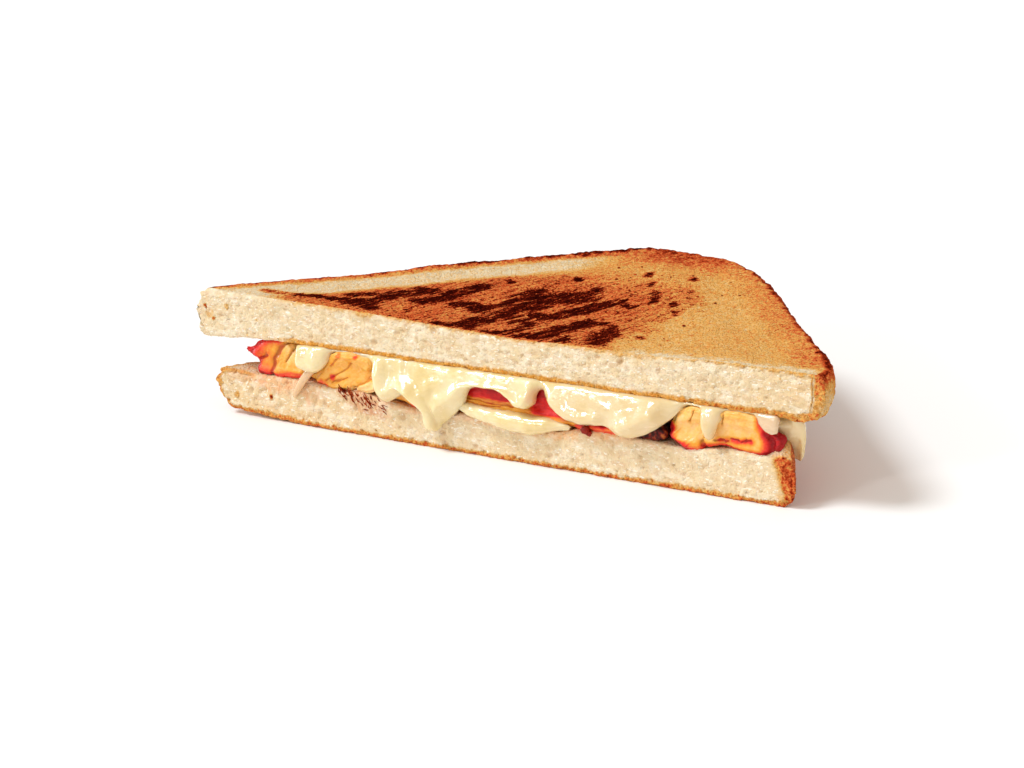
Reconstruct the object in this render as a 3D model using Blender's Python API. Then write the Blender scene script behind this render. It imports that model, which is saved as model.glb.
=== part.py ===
"""Half of a toasted chicken tikka melt: two slices of white bread cut corner to corner, with strips of
tikka chicken and melted cheese between them. The cut face looks along -Y and the slice's corner along +Y.

Lengths are in millimetres until a mesh is made. X runs along the cut, Y from the cut to the corner of the
loaf, Z up from the table. The cut plane is y = 0 while the pieces are worked out; the parent empty then
puts the origin on the base, near the middle of the footprint.
"""

import math

import bmesh
import bpy
import numpy as np
from mathutils import Vector, geometry, noise

MM = 0.001
CUT_TO_ORIGIN = 32.0  # puts the origin about halfway from the cut to the corner

# The loaf: one slice is a rectangle with rounded corners, cut along its diagonal.
LOAF_WIDTH = 121.5
LOAF_HEIGHT = 110.0
LEFT_TIP_ROUNDING = (1.5, 1.5)  # reach of each corner's rounding along its two edges
RIGHT_TIP_ROUNDING = (13.0, 13.0)
BACK_CORNER_ROUNDING = (29.0, 25.0)
LOWER_SLICE_SIZE = 0.972  # the next slice of the loaf, a little smaller
LOWER_SLICE_SHIFT = (-3.9, -5.5)  # the slices weren't quite in line when the knife went through

# Heights along the cut.
TOTAL_HEIGHT = 28.0
SLICE_THICKNESS = 9.6
UPPER_UNDERSIDE = TOTAL_HEIGHT - SLICE_THICKNESS
LOWER_TOP = 8.0
CRUST_SWELL = 1.4  # the press squeezes the middle of a slice more than its crust
SIDE_SWELL = 1.3  # the upper slice bulges a little halfway along its right edge
SIDE_SWELL_AT = 38.0
SIDE_SWELL_REACH = 9.5

# How much the crust is rounded at a slice's edges, at its left tip and at its right tip.
UPPER_EDGES = {"under": (0.5, 5.6), "top": (3.4, 1.2)}
LOWER_EDGES = {"under": (4.4, 3.0), "top": (1.0, 2.2)}
CUT_EDGE = 0.45  # the knife leaves a nearly sharp edge
CLEARANCE = 0.3

# The filling.
CHEESE_SHEET = 1.6
FILLING_MARGIN = 8.0  # how far the filling stays inside the crust
CHEESE_LEFT_END = -53.5
CHEESE_RIGHT_END = 67.0

# Strands and drips of the melted cheese. Each is (centre, length, reach to the left, fullness to the left,
# reach to the right, fullness to the right): a high fullness gives a round lobe, a low one a pointed drip.
FRONT_DRIPS = (
    (-49.7, 5.6, 3.8, 4.0, 5.0, 4.0),
    (-12.0, 3.7, 23.0, 6.0, 21.5, 8.0),
    (-28.4, 9.9, 4.2, 4.0, 6.0, 4.0),
    (-18.2, 14.4, 5.6, 2.0, 15.0, 1.6),
    (7.3, 6.2, 4.5, 3.0, 2.6, 4.0),
    (21.5, 7.4, 10.0, 2.2, 12.0, 3.0),
    (32.0, 8.9, 3.0, 4.0, 14.0, 1.7),
    (50.9, 6.9, 2.2, 4.0, 2.7, 3.0),
    (65.0, 3.9, 5.0, 2.5, 4.0, 3.0),
)
RIGHT_DRIPS = ((13.5, 10.2, 4.0, 3.0, 6.0, 2.5),)

# Strips of chicken: outline of the cut end as (x, z), clockwise from the left.
CHICKEN = {
    "chicken_1": ((-67.0, 15.4), (-63.5, 17.8), (-59.5, 19.0), (-55.6, 18.2), (-54.3, 16.2), (-51.4, 14.6),
                  (-51.3, 11.8), (-56.0, 11.4), (-61.0, 10.4), (-65.0, 10.7), (-65.4, 13.0)),
    "chicken_2": ((-49.8, 10.2), (-47.3, 13.6), (-43.5, 16.6), (-38.0, 17.3), (-32.3, 15.0), (-33.0, 12.0),
                  (-37.0, 10.4), (-43.5, 9.4)),
    "chicken_3": ((-31.4, 10.0), (-31.2, 14.8), (-27.0, 16.4), (-21.8, 15.6), (-20.6, 11.0), (-21.2, 7.2),
                  (-25.6, 8.8)),
    "chicken_4": ((-19.4, 11.6), (-17.5, 15.6), (-8.0, 16.6), (4.0, 16.4), (14.0, 17.0), (18.4, 13.8),
                  (17.4, 11.4), (8.0, 11.3), (-6.0, 11.2), (-14.0, 10.4)),
    "chicken_5": ((19.2, 10.2), (20.4, 15.4), (26.0, 16.8), (31.6, 15.6), (32.2, 11.6), (28.0, 9.8)),
    "charred_piece": ((33.0, 9.8), (33.4, 12.2), (37.0, 13.2), (39.4, 12.2), (39.6, 10.0), (36.4, 9.4)),
    "chicken_6": ((40.4, 13.2), (43.0, 16.2), (47.5, 17.4), (53.0, 17.2), (59.5, 17.2), (63.4, 15.4),
                  (64.6, 12.0), (62.8, 8.8), (57.5, 9.7), (52.0, 10.7), (48.0, 9.0), (44.2, 8.7),
                  (41.4, 10.6)),
}


def smooth(t):
    t = np.clip(t, 0.0, 1.0)
    return t * t * (3.0 - 2.0 * t)


def unit(v):
    return v / np.linalg.norm(v)


class Slice:
    """The half of a rectangular slice of bread that lies beyond its diagonal."""

    def __init__(self, size=1.0, shift=(0.0, 0.0)):
        diagonal = math.hypot(LOAF_WIDTH, LOAF_HEIGHT)
        reach = np.array([diagonal / 2, 0.0])
        back = np.array([LOAF_WIDTH**2 - LOAF_HEIGHT**2, 2 * LOAF_WIDTH * LOAF_HEIGHT]) / (2 * diagonal)
        self.left = np.array(shift) - reach * size
        self.right = np.array(shift) + reach * size
        self.back = np.array(shift) + back * size
        self.far = np.array(shift) - back * size

    def inside(self, x, y):
        """How far (x, y) lies inside the crust."""
        left, right = unit(self.back - self.left), unit(self.back - self.right)
        from_left = (x - self.left[0]) * left[1] - (y - self.left[1]) * left[0]
        from_right = (y - self.right[1]) * right[0] - (x - self.right[0]) * right[1]
        return np.minimum(from_left, from_right)

    def crust_line(self, x):
        """The y at which a line of constant x meets the crust, with the back corner rounded off."""
        left = (x - self.left[0]) * (self.back[1] - self.left[1]) / (self.back[0] - self.left[0])
        right = (self.right[0] - x) * (self.back[1] - self.right[1]) / (self.right[0] - self.back[0])
        rounded = self.back[1] - sum(BACK_CORNER_ROUNDING) / 2 * (math.sqrt(2.0) - 1.0)
        sides = np.minimum(left + self.left[1], right + self.right[1])
        return np.minimum(sides, rounded - 0.004 * (x - self.back[0]) ** 2)

    def outline(self, cut_step, crust_step):
        """The outline from the left tip along the cut and back round the crust, and where its cut ends."""
        loop = arc(self.right, self.far, self.back, RIGHT_TIP_ROUNDING)
        loop += arc(self.back, self.right, self.left, BACK_CORNER_ROUNDING)
        loop += arc(self.left, self.back, self.far, LEFT_TIP_ROUNDING)
        loop = np.array(loop)
        keep = np.flatnonzero(loop[:, 1] > 0.0)
        first, last = keep[0], keep[-1]
        before = loop[first - 1] if first else self.far
        after = loop[last + 1] if last + 1 < len(loop) else self.far
        right_tip = crossing(before, loop[first])
        left_tip = crossing(loop[last], after)
        crust = resampled(np.vstack([right_tip, loop[first : last + 1], left_tip]), crust_step)
        cut = resampled(np.array([left_tip, right_tip]), cut_step)
        return np.vstack([cut[:-1], crust[:-1]]), len(cut) - 1


def arc(corner, before, after, reach, steps=14):
    """A corner of the loaf rounded off between the directions to its two neighbours."""
    one, two = reach[0] * unit(before - corner), reach[1] * unit(after - corner)
    centre = corner + one + two
    return [centre - math.cos(a) * two - math.sin(a) * one for a in np.linspace(0.0, math.pi / 2, steps)]


def crossing(a, b):
    """Where the line from a to b meets the cut plane."""
    return a + (b - a) * (a[1] / (a[1] - b[1]))


def resampled(line, step):
    lengths = np.concatenate([[0.0], np.cumsum(np.linalg.norm(np.diff(line, axis=0), axis=1))])
    stops = np.linspace(0.0, lengths[-1], max(2, round(lengths[-1] / step) + 1))
    return np.stack([np.interp(stops, lengths, line[:, k]) for k in (0, 1)], axis=1)


UPPER = Slice()
LOWER = Slice(LOWER_SLICE_SIZE, LOWER_SLICE_SHIFT)


def bumps(x, y, size, seed):
    """Slow uneven swelling between -1 and 1."""
    points = np.broadcast_arrays(np.asarray(x, float), np.asarray(y, float))
    flat = [noise.noise(Vector((a / size, b / size, seed))) for a, b in zip(points[0].flat, points[1].flat)]
    return np.array(flat).reshape(points[0].shape)


def upper_top(x, y):
    """The toasted top: pressed down in the middle, with a shallow trough inside the rim."""
    inside = UPPER.inside(x, y)
    dip = 1.5 * np.exp(-(((x - 8.0) / 34.0) ** 2)) * smooth(inside / 14.0)
    dip = dip * (1.0 - smooth((y - 18.0) / 34.0))
    trough = 0.7 * np.exp(-(((inside - 10.0) / 4.5) ** 2)) * smooth(y / 12.0)
    rim = 0.6 * (1.0 - smooth(inside / 7.0)) * smooth((0.0 - x) / 30.0) * smooth((x + 82.0) / 6.0)
    return TOTAL_HEIGHT + 0.4 - dip - trough + rim + 0.35 * bumps(x, y, 16.0, 1.5)


def upper_under(x, y):
    swell = CRUST_SWELL * (1.0 - smooth(UPPER.inside(x, y) / 13.0))
    return UPPER_UNDERSIDE + 0.2 - swell + 0.25 * bumps(x, y, 14.0, 4.5)


def lower_top(x, y):
    inside = LOWER.inside(x, y)
    rise = 1.4 * smooth((x - 8.0) / 32.0) + 1.2 * smooth((-56.0 - x) / 18.0)
    swell = CRUST_SWELL * (1.0 - smooth(inside / 12.0))
    return LOWER_TOP - 0.5 + rise + swell + 0.2 * bumps(x, y, 12.0, 7.5)


def lower_under(x, y):
    """Flat from the press, lifting a little at the left tip."""
    return 1.1 * smooth((-46.0 - x + 0.0 * y) / 30.0)


def outward_normals(outline):
    ahead = np.roll(outline, -1, axis=0) - np.roll(outline, 1, axis=0)
    normals = np.stack([ahead[:, 1], -ahead[:, 0]], axis=1)
    return normals / np.linalg.norm(normals, axis=1)[:, None]


def cap(rim, spacing):
    """Triangles that fill a rim, with points of an even grid inside it: (inner points, triangles)."""
    low, high = rim.min(axis=0), rim.max(axis=0)
    grid = [(x + (row % 2) * spacing / 2, y)
            for row, y in enumerate(np.arange(low[1], high[1], spacing * 0.87))
            for x in np.arange(low[0], high[0], spacing)]
    grid = np.array([p for p in grid if inside_by(rim, p) > spacing * 0.55])
    points = [Vector(p) for p in np.vstack([rim, grid])]
    ring = [(i, (i + 1) % len(rim)) for i in range(len(rim))]
    found, _, faces, origin, _, _ = geometry.delaunay_2d_cdt(points, ring, [], 1, 1e-6)
    index = [source[0] for source in origin]
    return grid, [[index[i] for i in face] for face in faces]


def inside_by(rim, point):
    """Distance from a point to a rim, negative outside it."""
    start, end = rim, np.roll(rim, -1, axis=0)
    along, away = end - start, point - start
    share = np.clip((along * away).sum(axis=1) / (along**2).sum(axis=1), 0.0, 1.0)
    gap = np.linalg.norm(away - along * share[:, None], axis=1).min()
    crosses = (start[:, 1] > point[1]) != (end[:, 1] > point[1])
    rise = np.where(along[:, 1] == 0.0, 1.0, along[:, 1])
    level = start[:, 0] + (point[1] - start[:, 1]) / rise * along[:, 0]
    return gap if np.count_nonzero(crosses & (point[0] < level)) % 2 else -gap


def edge_rounding(outline, n_cut, ends):
    """Inset of each outline point at the top or bottom edge: the knife's edge along the cut, the crust's
    rounding elsewhere. Near the tips it turns to run along the cut, so the points keep their order."""
    left, right = outline[0, 0], outline[n_cut, 0]
    share = smooth((outline[:, 0] - left) / (right - left))
    crust = ends[0] + (ends[1] - ends[0]) * share
    turned = smooth(outline[:, 1] / 12.0)[:, None]
    along_cut = np.column_stack([np.where(share < 0.5, 1.0, -1.0), np.zeros(len(outline))])
    inset = (along_cut * (1.0 - turned) - outward_normals(outline) * turned) * crust[:, None]
    for i in range(n_cut + 1):
        x = outline[i, 0]
        near_left, near_right = max(0.0, 1.0 - (x - left) / 12.0), max(0.0, 1.0 - (right - x) / 12.0)
        inset[i] = near_left**2 * ends[0] - near_right**2 * ends[1], CUT_EDGE
        crust[i] = CUT_EDGE + near_left**2 * ends[0] + near_right**2 * ends[1]
    return inset, crust


def bands(rings, count):
    """Four-sided faces between each closed ring of points and the next."""
    faces = []
    for ring in range(rings - 1):
        low, high = ring * count, (ring + 1) * count
        for i in range(count):
            after = (i + 1) % count
            faces.append([low + i, low + after, high + after, high + i])
    return faces


def slice_mesh(bread, under, top, edges, swell=0.0, spacing=6.5):
    """A slice: a wall round its outline with rounded edges, and a cap above and below."""
    outline, n_cut = bread.outline(2.6, 4.0)
    rough = np.array([noise.noise(Vector((x / 5.0, y / 5.0, 2.5))) for x, y in outline])
    bulge = swell * np.exp(-(((outline[:, 0] - SIDE_SWELL_AT) / SIDE_SWELL_REACH) ** 2))
    is_cut = np.arange(len(outline)) <= n_cut
    rough = np.where(is_cut, 0.0, 0.55 * rough + bulge)
    outline = outline + outward_normals(outline) * rough[:, None]
    low_inset, low_round = edge_rounding(outline, n_cut, edges["under"])
    high_inset, high_round = edge_rounding(outline, n_cut, edges["top"])
    rings = []
    for inset, rounding, share, rise in (
        (low_inset, low_round, 0.0, ((1.0, 0.0), (0.3, 0.3), (0.0, 1.0))),
        (high_inset, high_round, 1.0, ((0.0, -1.0), (0.3, -0.3), (1.0, 0.0))),
    ):
        for inwards, lift in rise:
            flat = outline + inset * inwards
            low, high = under(flat[:, 0], flat[:, 1]), top(flat[:, 0], flat[:, 1])
            rings.append(np.column_stack([flat, low + share * (high - low) + lift * rounding]))
    count = len(outline)
    vertices = np.vstack(rings)
    faces = bands(len(rings), count)
    for ring, height in ((0, under), (len(rings) - 1, top)):
        grid, triangles = cap(rings[ring][:, :2], spacing)
        base = len(vertices)
        heights = height(grid[:, 0], grid[:, 1])
        vertices = np.vstack([vertices, np.column_stack([grid, heights])])
        places = [ring * count + i for i in range(count)] + [base + i for i in range(len(grid))]
        faces += [[places[i] for i in triangle] for triangle in triangles]
    return vertices, faces


def drop_at(x, drips):
    """How far the cheese hangs below the upper slice."""
    drop = np.full(np.shape(x), CHEESE_SHEET)
    for centre, length, left, left_full, right, right_full in drips:
        across = np.where(x < centre, (centre - x) / left, (x - centre) / right)
        full = np.where(x < centre, left_full, right_full)
        drop = np.maximum(drop, length * (1.0 - np.minimum(across, 1.0) ** full))
    return drop


class Edge:
    """A straight edge that cheese runs over: s along it, n outwards from it."""

    def __init__(self, start, end, inset=0.0):
        self.along = unit(np.array(end) - np.array(start))
        self.out = np.array([self.along[1], -self.along[0]])
        self.start = np.array(start) - self.out * inset

    def at(self, s, n):
        spot = self.start + self.along * s + self.out * n
        return float(spot[0]), float(spot[1])


def curtain_mesh(edge, stations, drips, depth, plump, levels=7):
    """Melted cheese: a sheet under the upper slice whose edge hangs over in drips. Every section across it
    is one loop, and the loops are joined from one end to the other."""
    fine = np.linspace(stations[0], stations[-1], 400)
    ceilings = np.array([height_under(edge, s, 0.0) for s in fine]) - CLEARANCE
    hem_line = np.column_stack([fine, ceilings - drop_at(fine, drips)])
    loops = []
    for s in stations:
        ceiling = height_under(edge, s, 0.0) - CLEARANCE
        drop = float(drop_at(s, drips))
        back = float(depth(s))
        fullest = 0.4 + plump * float(smooth(drop / 8.0))
        ins = -back * np.array([1.0, 0.94, 0.86, 0.7, 0.5, 0.3, 0.12])
        loop = [(n, height_under(edge, s, n) - CLEARANCE) for n in ins]
        for u in np.linspace(0.0, 1.0, levels) ** 0.8:
            z = ceiling - u * drop
            near = np.hypot(hem_line[:, 0] - s, hem_line[:, 1] - z).min()
            belly = math.sqrt(1.0 - (1.0 - min(near / 2.4, 1.0)) ** 2)
            fade = 0.4 + 0.6 * float(smooth((ceiling - z) / 2.2))
            loop.append((CLEARANCE + 0.15 + fullest * belly * fade, z))
        for u in (0.88, 0.4, 0.0):
            loop.append((CLEARANCE, ceiling - CHEESE_SHEET - u * (drop - CHEESE_SHEET) * 0.96))
        loop += [(n, height_under(edge, s, n) - CLEARANCE - CHEESE_SHEET) for n in ins[::-1]]
        loops.append([(*edge.at(s, n), z) for n, z in loop])
    return loft(np.array(loops, float))


def height_under(edge, s, n):
    x, y = edge.at(s, n)
    return float(upper_under(x, y))


def loft(loops):
    """A closed skin through loops of equal length, with a face over each end."""
    sections, count, _ = loops.shape
    faces = bands(sections, count)
    faces += [list(range(count)), [(sections - 1) * count + i for i in range(count)]]
    return loops.reshape(-1, 3), faces


def rounded_loop(points, per_span):
    """A closed Catmull-Rom curve through the points."""
    points = np.array(points)
    a, b, c, d = (np.roll(points, k, axis=0) for k in (1, 0, -1, -2))
    spans = []
    for t in np.arange(per_span) / per_span:
        bend = (2 * a - 5 * b + 4 * c - d) * t**2 + (3 * b - a - 3 * c + d) * t**3
        spans.append(0.5 * (2 * b + (c - a) * t + bend))
    return np.stack(spans, axis=1).reshape(-1, 2)


def filling_ceiling(x, y):
    """The underside of whatever lies over the filling: the cheese, or past its left end the bread."""
    under_cheese = smooth((x - CHEESE_LEFT_END + 2.4) / 1.8)
    return upper_under(x, y) - CLEARANCE - under_cheese * (CHEESE_SHEET + CLEARANCE)


def strip_mesh(outline, seed):
    """A strip of chicken from the cut back towards the crust, thinner and more ragged as it goes."""
    end = rounded_loop(outline, 3)
    middle = end.mean(axis=0)
    sections = ((0.0, 0.86, 0.35), (0.0, 1.0, 1.3), (0.14, 0.99, 0.0), (0.32, 0.96, 0.0), (0.52, 0.94, 0.0),
                (0.7, 0.9, 0.0), (0.84, 0.86, 0.0), (0.94, 0.8, 0.0), (1.0, 0.5, 0.0))
    loops = []
    for share, size, ahead in sections:
        sway = 0.5 * noise.noise(Vector((share * 3.0, seed, 0.5)))
        section = middle + (end - middle) * size * np.array([1.0, 1.0 - 0.1 * share])
        section[:, 0] += sway * share
        x = section[:, 0]
        back = np.maximum(UPPER.crust_line(x) - FILLING_MARGIN, 7.0)
        y = ahead + share * (back - ahead)
        z = section[:, 1] + 0.35 * share * bumps(x, y, 6.0, seed)
        floor = lower_top(x, y) + CLEARANCE
        loops.append(np.column_stack([x, y, np.clip(z, floor, filling_ceiling(x, y) - CLEARANCE)]))
    return loft(np.array(loops))


def puddle_mesh():
    """Cheese that ran down under the chicken and lies on the lower slice at the cut."""
    left, right, back = -8.6, 17.4, 9.0
    loops = []
    for x in np.linspace(left, right, 15):
        share = (x - left) / (right - left)
        size = math.sin(math.pi * min(max(share, 0.03), 0.97)) ** 0.45
        front = -1.7 * float(smooth((x - left - 3.0) / 4.0)) * size
        floor = float(lower_top(x, 0.5)) + CLEARANCE
        tall = (LOWER_TOP + 2.75 - floor) * size
        loop = [(front + 0.5, floor), (front, floor + 0.35 * tall), (front + 0.25, floor + 0.7 * tall),
                (front + 1.1, floor + tall), (0.5 * back, floor + 0.8 * tall)]
        loop += [(back * size, floor + 0.45 * tall)]
        loop += [(y, float(lower_top(x, y)) + CLEARANCE) for y in (back * size, 0.4 * back)]
        loops.append([(x, max(y, front), z) for y, z in loop])
    return loft(np.array(loops))


def build(name, mesh_parts, material, parent):
    """A named object from vertices and faces, with its faces turned outwards."""
    vertices, faces = mesh_parts
    mesh = bpy.data.meshes.new(name)
    mesh.from_pydata([Vector(v) * MM for v in vertices], [], faces)
    shell = bmesh.new()
    shell.from_mesh(mesh)
    bmesh.ops.triangulate(shell, faces=[f for f in shell.faces if len(f.verts) > 4])
    bmesh.ops.recalc_face_normals(shell, faces=shell.faces)
    if shell.calc_volume(signed=True) < 0.0:
        bmesh.ops.reverse_faces(shell, faces=shell.faces)
    shell.to_mesh(mesh)
    shell.free()
    mesh.shade_smooth()
    mesh.set_sharp_from_angle(angle=math.radians(50.0))
    mesh.materials.append(material)
    piece = bpy.data.objects.new(name, mesh)
    piece.parent = parent
    bpy.context.scene.collection.objects.link(piece)
    return piece


def finish(name, colour, roughness, subsurface):
    material = bpy.data.materials.new(name)
    material.use_nodes = True
    shader = material.node_tree.nodes["Principled BSDF"]
    shader.inputs["Base Color"].default_value = (*colour, 1.0)
    shader.inputs["Roughness"].default_value = roughness
    shader.inputs["Metallic"].default_value = 0.0
    shader.inputs["Subsurface Weight"].default_value = subsurface
    shader.inputs["Subsurface Scale"].default_value = 0.002
    material.diffuse_color = (*colour, 1.0)
    return material


def main():
    for old in list(bpy.data.objects):
        bpy.data.objects.remove(old)
    melt = bpy.data.objects.new("melt", None)
    melt.location = (0.0, -CUT_TO_ORIGIN * MM, 0.0)
    bpy.context.scene.collection.objects.link(melt)

    toast = finish("toasted_bread", (0.72, 0.45, 0.2), 0.85, 0.1)
    cheese = finish("melted_cheese", (0.87, 0.78, 0.45), 0.25, 0.3)
    tikka = finish("tikka_chicken", (0.83, 0.38, 0.1), 0.5, 0.2)
    charred = finish("charred_chicken", (0.1, 0.02, 0.02), 0.6, 0.0)

    build("bread_lower", slice_mesh(LOWER, lower_under, lower_top, LOWER_EDGES), toast, melt)
    build("bread_upper", slice_mesh(UPPER, upper_under, upper_top, UPPER_EDGES, SIDE_SWELL), toast, melt)
    for seed, (name, outline) in enumerate(CHICKEN.items()):
        material = charred if name == "charred_piece" else tikka
        build(name, strip_mesh(outline, 10.5 + seed), material, melt)

    front = Edge((0.0, 0.0), (1.0, 0.0))
    stations = np.arange(CHEESE_LEFT_END, CHEESE_RIGHT_END + 0.1, 1.6)

    def sheet_depth(x):
        reach = min(float(UPPER.crust_line(x)) - FILLING_MARGIN - 6.0, float(LOWER.crust_line(x)) - 4.0)
        return 0.9 + (max(reach, 0.9) - 0.9) * float(smooth((x - CHEESE_LEFT_END - 1.6) / 3.0))

    build("cheese_melt", curtain_mesh(front, stations, FRONT_DRIPS, sheet_depth, 1.7), cheese, melt)
    build("cheese_puddle", puddle_mesh(), cheese, melt)
    right = Edge(LOWER.right, LOWER.back, -0.7)
    stations = np.arange(10.5, 19.8, 1.3)
    build("cheese_right", curtain_mesh(right, stations, RIGHT_DRIPS, lambda s: 1.5, 0.7), cheese, melt)


main()
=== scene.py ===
# %% [markdown]
# # Half a chicken tikka melt
#
# The real thing is a toasted sandwich cut corner to corner: two slices of white bread pressed flat and
# charred on the outside, strips of red-rimmed tikka chicken, and cheese that melted and ran over the cut.
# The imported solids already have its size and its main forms. Here each of them is dressed: its skin is
# cut into much finer faces, pushed in and out by noise, and painted by what each spot of a melt has been
# through, such as heat, spice or a knife.

import math

import bmesh
import bpy
import numpy as np
from mathutils import Matrix, Vector
from mathutils.kdtree import KDTree


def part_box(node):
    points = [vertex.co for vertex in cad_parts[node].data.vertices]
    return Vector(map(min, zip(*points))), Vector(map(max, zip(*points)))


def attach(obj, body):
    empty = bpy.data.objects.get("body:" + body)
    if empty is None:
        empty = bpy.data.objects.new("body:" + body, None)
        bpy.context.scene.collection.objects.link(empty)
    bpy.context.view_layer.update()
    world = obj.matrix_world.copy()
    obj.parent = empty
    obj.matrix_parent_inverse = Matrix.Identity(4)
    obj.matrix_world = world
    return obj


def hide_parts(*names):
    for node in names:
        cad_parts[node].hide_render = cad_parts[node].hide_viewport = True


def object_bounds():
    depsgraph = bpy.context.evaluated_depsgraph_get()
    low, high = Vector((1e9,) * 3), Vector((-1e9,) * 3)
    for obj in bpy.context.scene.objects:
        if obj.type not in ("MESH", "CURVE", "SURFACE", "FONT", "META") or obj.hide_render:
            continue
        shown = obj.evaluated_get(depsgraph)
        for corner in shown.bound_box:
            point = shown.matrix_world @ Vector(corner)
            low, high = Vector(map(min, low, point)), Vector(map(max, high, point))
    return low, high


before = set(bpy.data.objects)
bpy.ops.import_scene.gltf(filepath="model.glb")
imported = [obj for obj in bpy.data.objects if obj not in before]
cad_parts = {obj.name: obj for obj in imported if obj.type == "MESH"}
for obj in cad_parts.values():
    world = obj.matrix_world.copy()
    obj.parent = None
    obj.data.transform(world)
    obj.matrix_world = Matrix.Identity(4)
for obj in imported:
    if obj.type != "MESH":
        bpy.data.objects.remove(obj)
SOLID_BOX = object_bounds()
MM = 0.001
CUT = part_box("bread_upper")[0][1] / MM
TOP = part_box("bread_upper")[1][2] / MM
print("nodes:", sorted(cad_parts))
print("the cut is at y =", round(CUT, 2), "mm and the toasted top at z =", round(TOP, 2), "mm")

# %% [markdown]
# ## The camera
#
# A melt is shown low and from one side, so that the cut face, the drips and the charred top are all in
# view. The lens is a short telephoto, which keeps the two tips of the triangle nearly the same size. The
# slight roll belongs to the way the half leans when it is looked at.

# %% The camera
AZIMUTH = math.radians(35.525)
ELEVATION = math.radians(16.591)
ROLL = math.radians(-3.44)
DISTANCE = 0.5869  # in metres, like the next one
AIM_BELOW_TOP = 0.0008
LENS = 100.0
LENS_SHIFT = (0.0159, -0.0512)

aim = np.array([0.0, CUT * MM, TOP * MM - AIM_BELOW_TOP])
level = np.array([math.sin(AZIMUTH), -math.cos(AZIMUTH), 0.0])
back = level * math.cos(ELEVATION) + np.array([0.0, 0.0, math.sin(ELEVATION)])
right = np.array([math.cos(AZIMUTH), math.sin(AZIMUTH), 0.0])
up = np.cross(back, right)
rolled_right = math.cos(ROLL) * right + math.sin(ROLL) * up
rolled_up = math.cos(ROLL) * up - math.sin(ROLL) * right
camera = bpy.data.objects.new("camera", bpy.data.cameras.new("camera"))
camera.data.lens = LENS
camera.data.clip_start = 0.01
camera.data.shift_x, camera.data.shift_y = LENS_SHIFT
turned = Matrix([rolled_right, rolled_up, back]).transposed().to_4x4()
camera.matrix_world = Matrix.Translation(Vector(aim + DISTANCE * back)) @ turned
bpy.context.scene.collection.objects.link(camera)
bpy.context.scene.camera = camera
print("camera at", [round(v, 3) for v in camera.location])

# %% [markdown]
# ## Light and floor
#
# The sandwich stands on a white table in a bright room. A strong sun from the left throws a shadow to the
# right, and a weaker one from the front left lights the cut face. Suns light the whole table evenly, so it
# stays white out to its edges, and their wide discs make the shadows soft. The warm white surroundings fill
# in the rest. Two more suns light no surface: they show only as bright reflections, mostly on the cheese.

# %% Light and floor
bpy.context.scene.view_settings.view_transform = "Standard"

ROOM_COLOUR = (1.0, 0.925, 0.85, 1.0)
ROOM_STRENGTH = 0.66
WHITE = (1.0, 1.0, 1.0)
# Name, strength, width of its disc in degrees, the way its light travels, its colour, and whether it lights
# surfaces or only shows as a reflection.
SUNS = (
    ("window_light", 2.1, 18.0, (0.44, 0.36, -0.80), (0.87, 0.94, 1.0), True),
    ("softbox", 0.44, 8.0, (0.30, 0.84, -0.45), (0.95, 0.98, 1.0), True),
    ("upper_gloss", 0.3, 9.0, (0.60, 0.60, -0.53), WHITE, False),
    ("side_gloss", 1.1, 9.0, (0.96, 0.18, -0.22), WHITE, False),
)
TABLE_REACH = 6.0

world = bpy.data.worlds.new("bright_room")
world.use_nodes = True
world.node_tree.nodes["Background"].inputs["Color"].default_value = ROOM_COLOUR
world.node_tree.nodes["Background"].inputs["Strength"].default_value = ROOM_STRENGTH
bpy.context.scene.world = world

for name, strength, width, towards, colour, lights_surfaces in SUNS:
    lamp = bpy.data.objects.new(name, bpy.data.lights.new(name, "SUN"))
    lamp.data.energy = strength
    lamp.data.angle = math.radians(width)
    lamp.data.color = colour
    lamp.visible_diffuse = lights_surfaces
    lamp.rotation_euler = Vector(towards).to_track_quat("-Z", "Y").to_euler()
    bpy.context.scene.collection.objects.link(lamp)

floor_mesh = bpy.data.meshes.new("table")
corners = [(x * TABLE_REACH, y * TABLE_REACH, 0.0) for x, y in ((-1, -1), (1, -1), (1, 1), (-1, 1))]
floor_mesh.from_pydata(corners, [], [(0, 1, 2, 3)])
floor = bpy.data.objects.new("table", floor_mesh)
floor.location.z = float(SOLID_BOX[0][2])
bpy.context.scene.collection.objects.link(floor)
print("a table and", len(SUNS), "suns")

# %% [markdown]
# ## Noise
#
# Bread, char and meat are uneven at every size. Two kinds of noise make most of it. Gradient noise swells
# and dips softly, and cell noise measures the distance to the nearest of many scattered points, which is how
# bubbles and pores sit. Both are worked out for whole arrays of points at once, so that a hundred thousand
# points take a fraction of a second.


# %% Noise
def smooth(t):
    """0 below 0, 1 above 1, and a soft step from one to the other."""
    t = np.clip(t, 0.0, 1.0)
    return t * t * (3.0 - 2.0 * t)


def rise(values, start, width):
    """A soft step from 0 at start to 1 a width further on."""
    return smooth((values - start) / width)


def fall(values, end, width):
    """A soft step from 1 down to 0 at the end, a width long."""
    return smooth((end - values) / width)


def hump(values, middle, reach):
    """1 at the middle, fading out evenly to both sides."""
    return np.exp(-(((values - middle) / reach) ** 2))


def toward(values, goal, share):
    """The values, taken a share of the way to a goal."""
    return values + (goal - values) * share


def scrambled(cells, seed):
    """A fixed random whole number for each cell."""
    mixed = np.full(len(cells), seed * 2654435761 % 2**32, dtype=np.uint64)
    for axis, factor in enumerate((73856093, 19349663, 83492791)):
        part = (cells[:, axis].astype(np.int64) & 0xFFFFFFFF).astype(np.uint64)
        mixed = (mixed ^ (part * np.uint64(factor))) & np.uint64(0xFFFFFFFF)
        mixed = (mixed * np.uint64(2246822519) + np.uint64(374761393)) & np.uint64(0xFFFFFFFF)
        mixed ^= mixed >> np.uint64(13)
    return mixed


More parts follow.
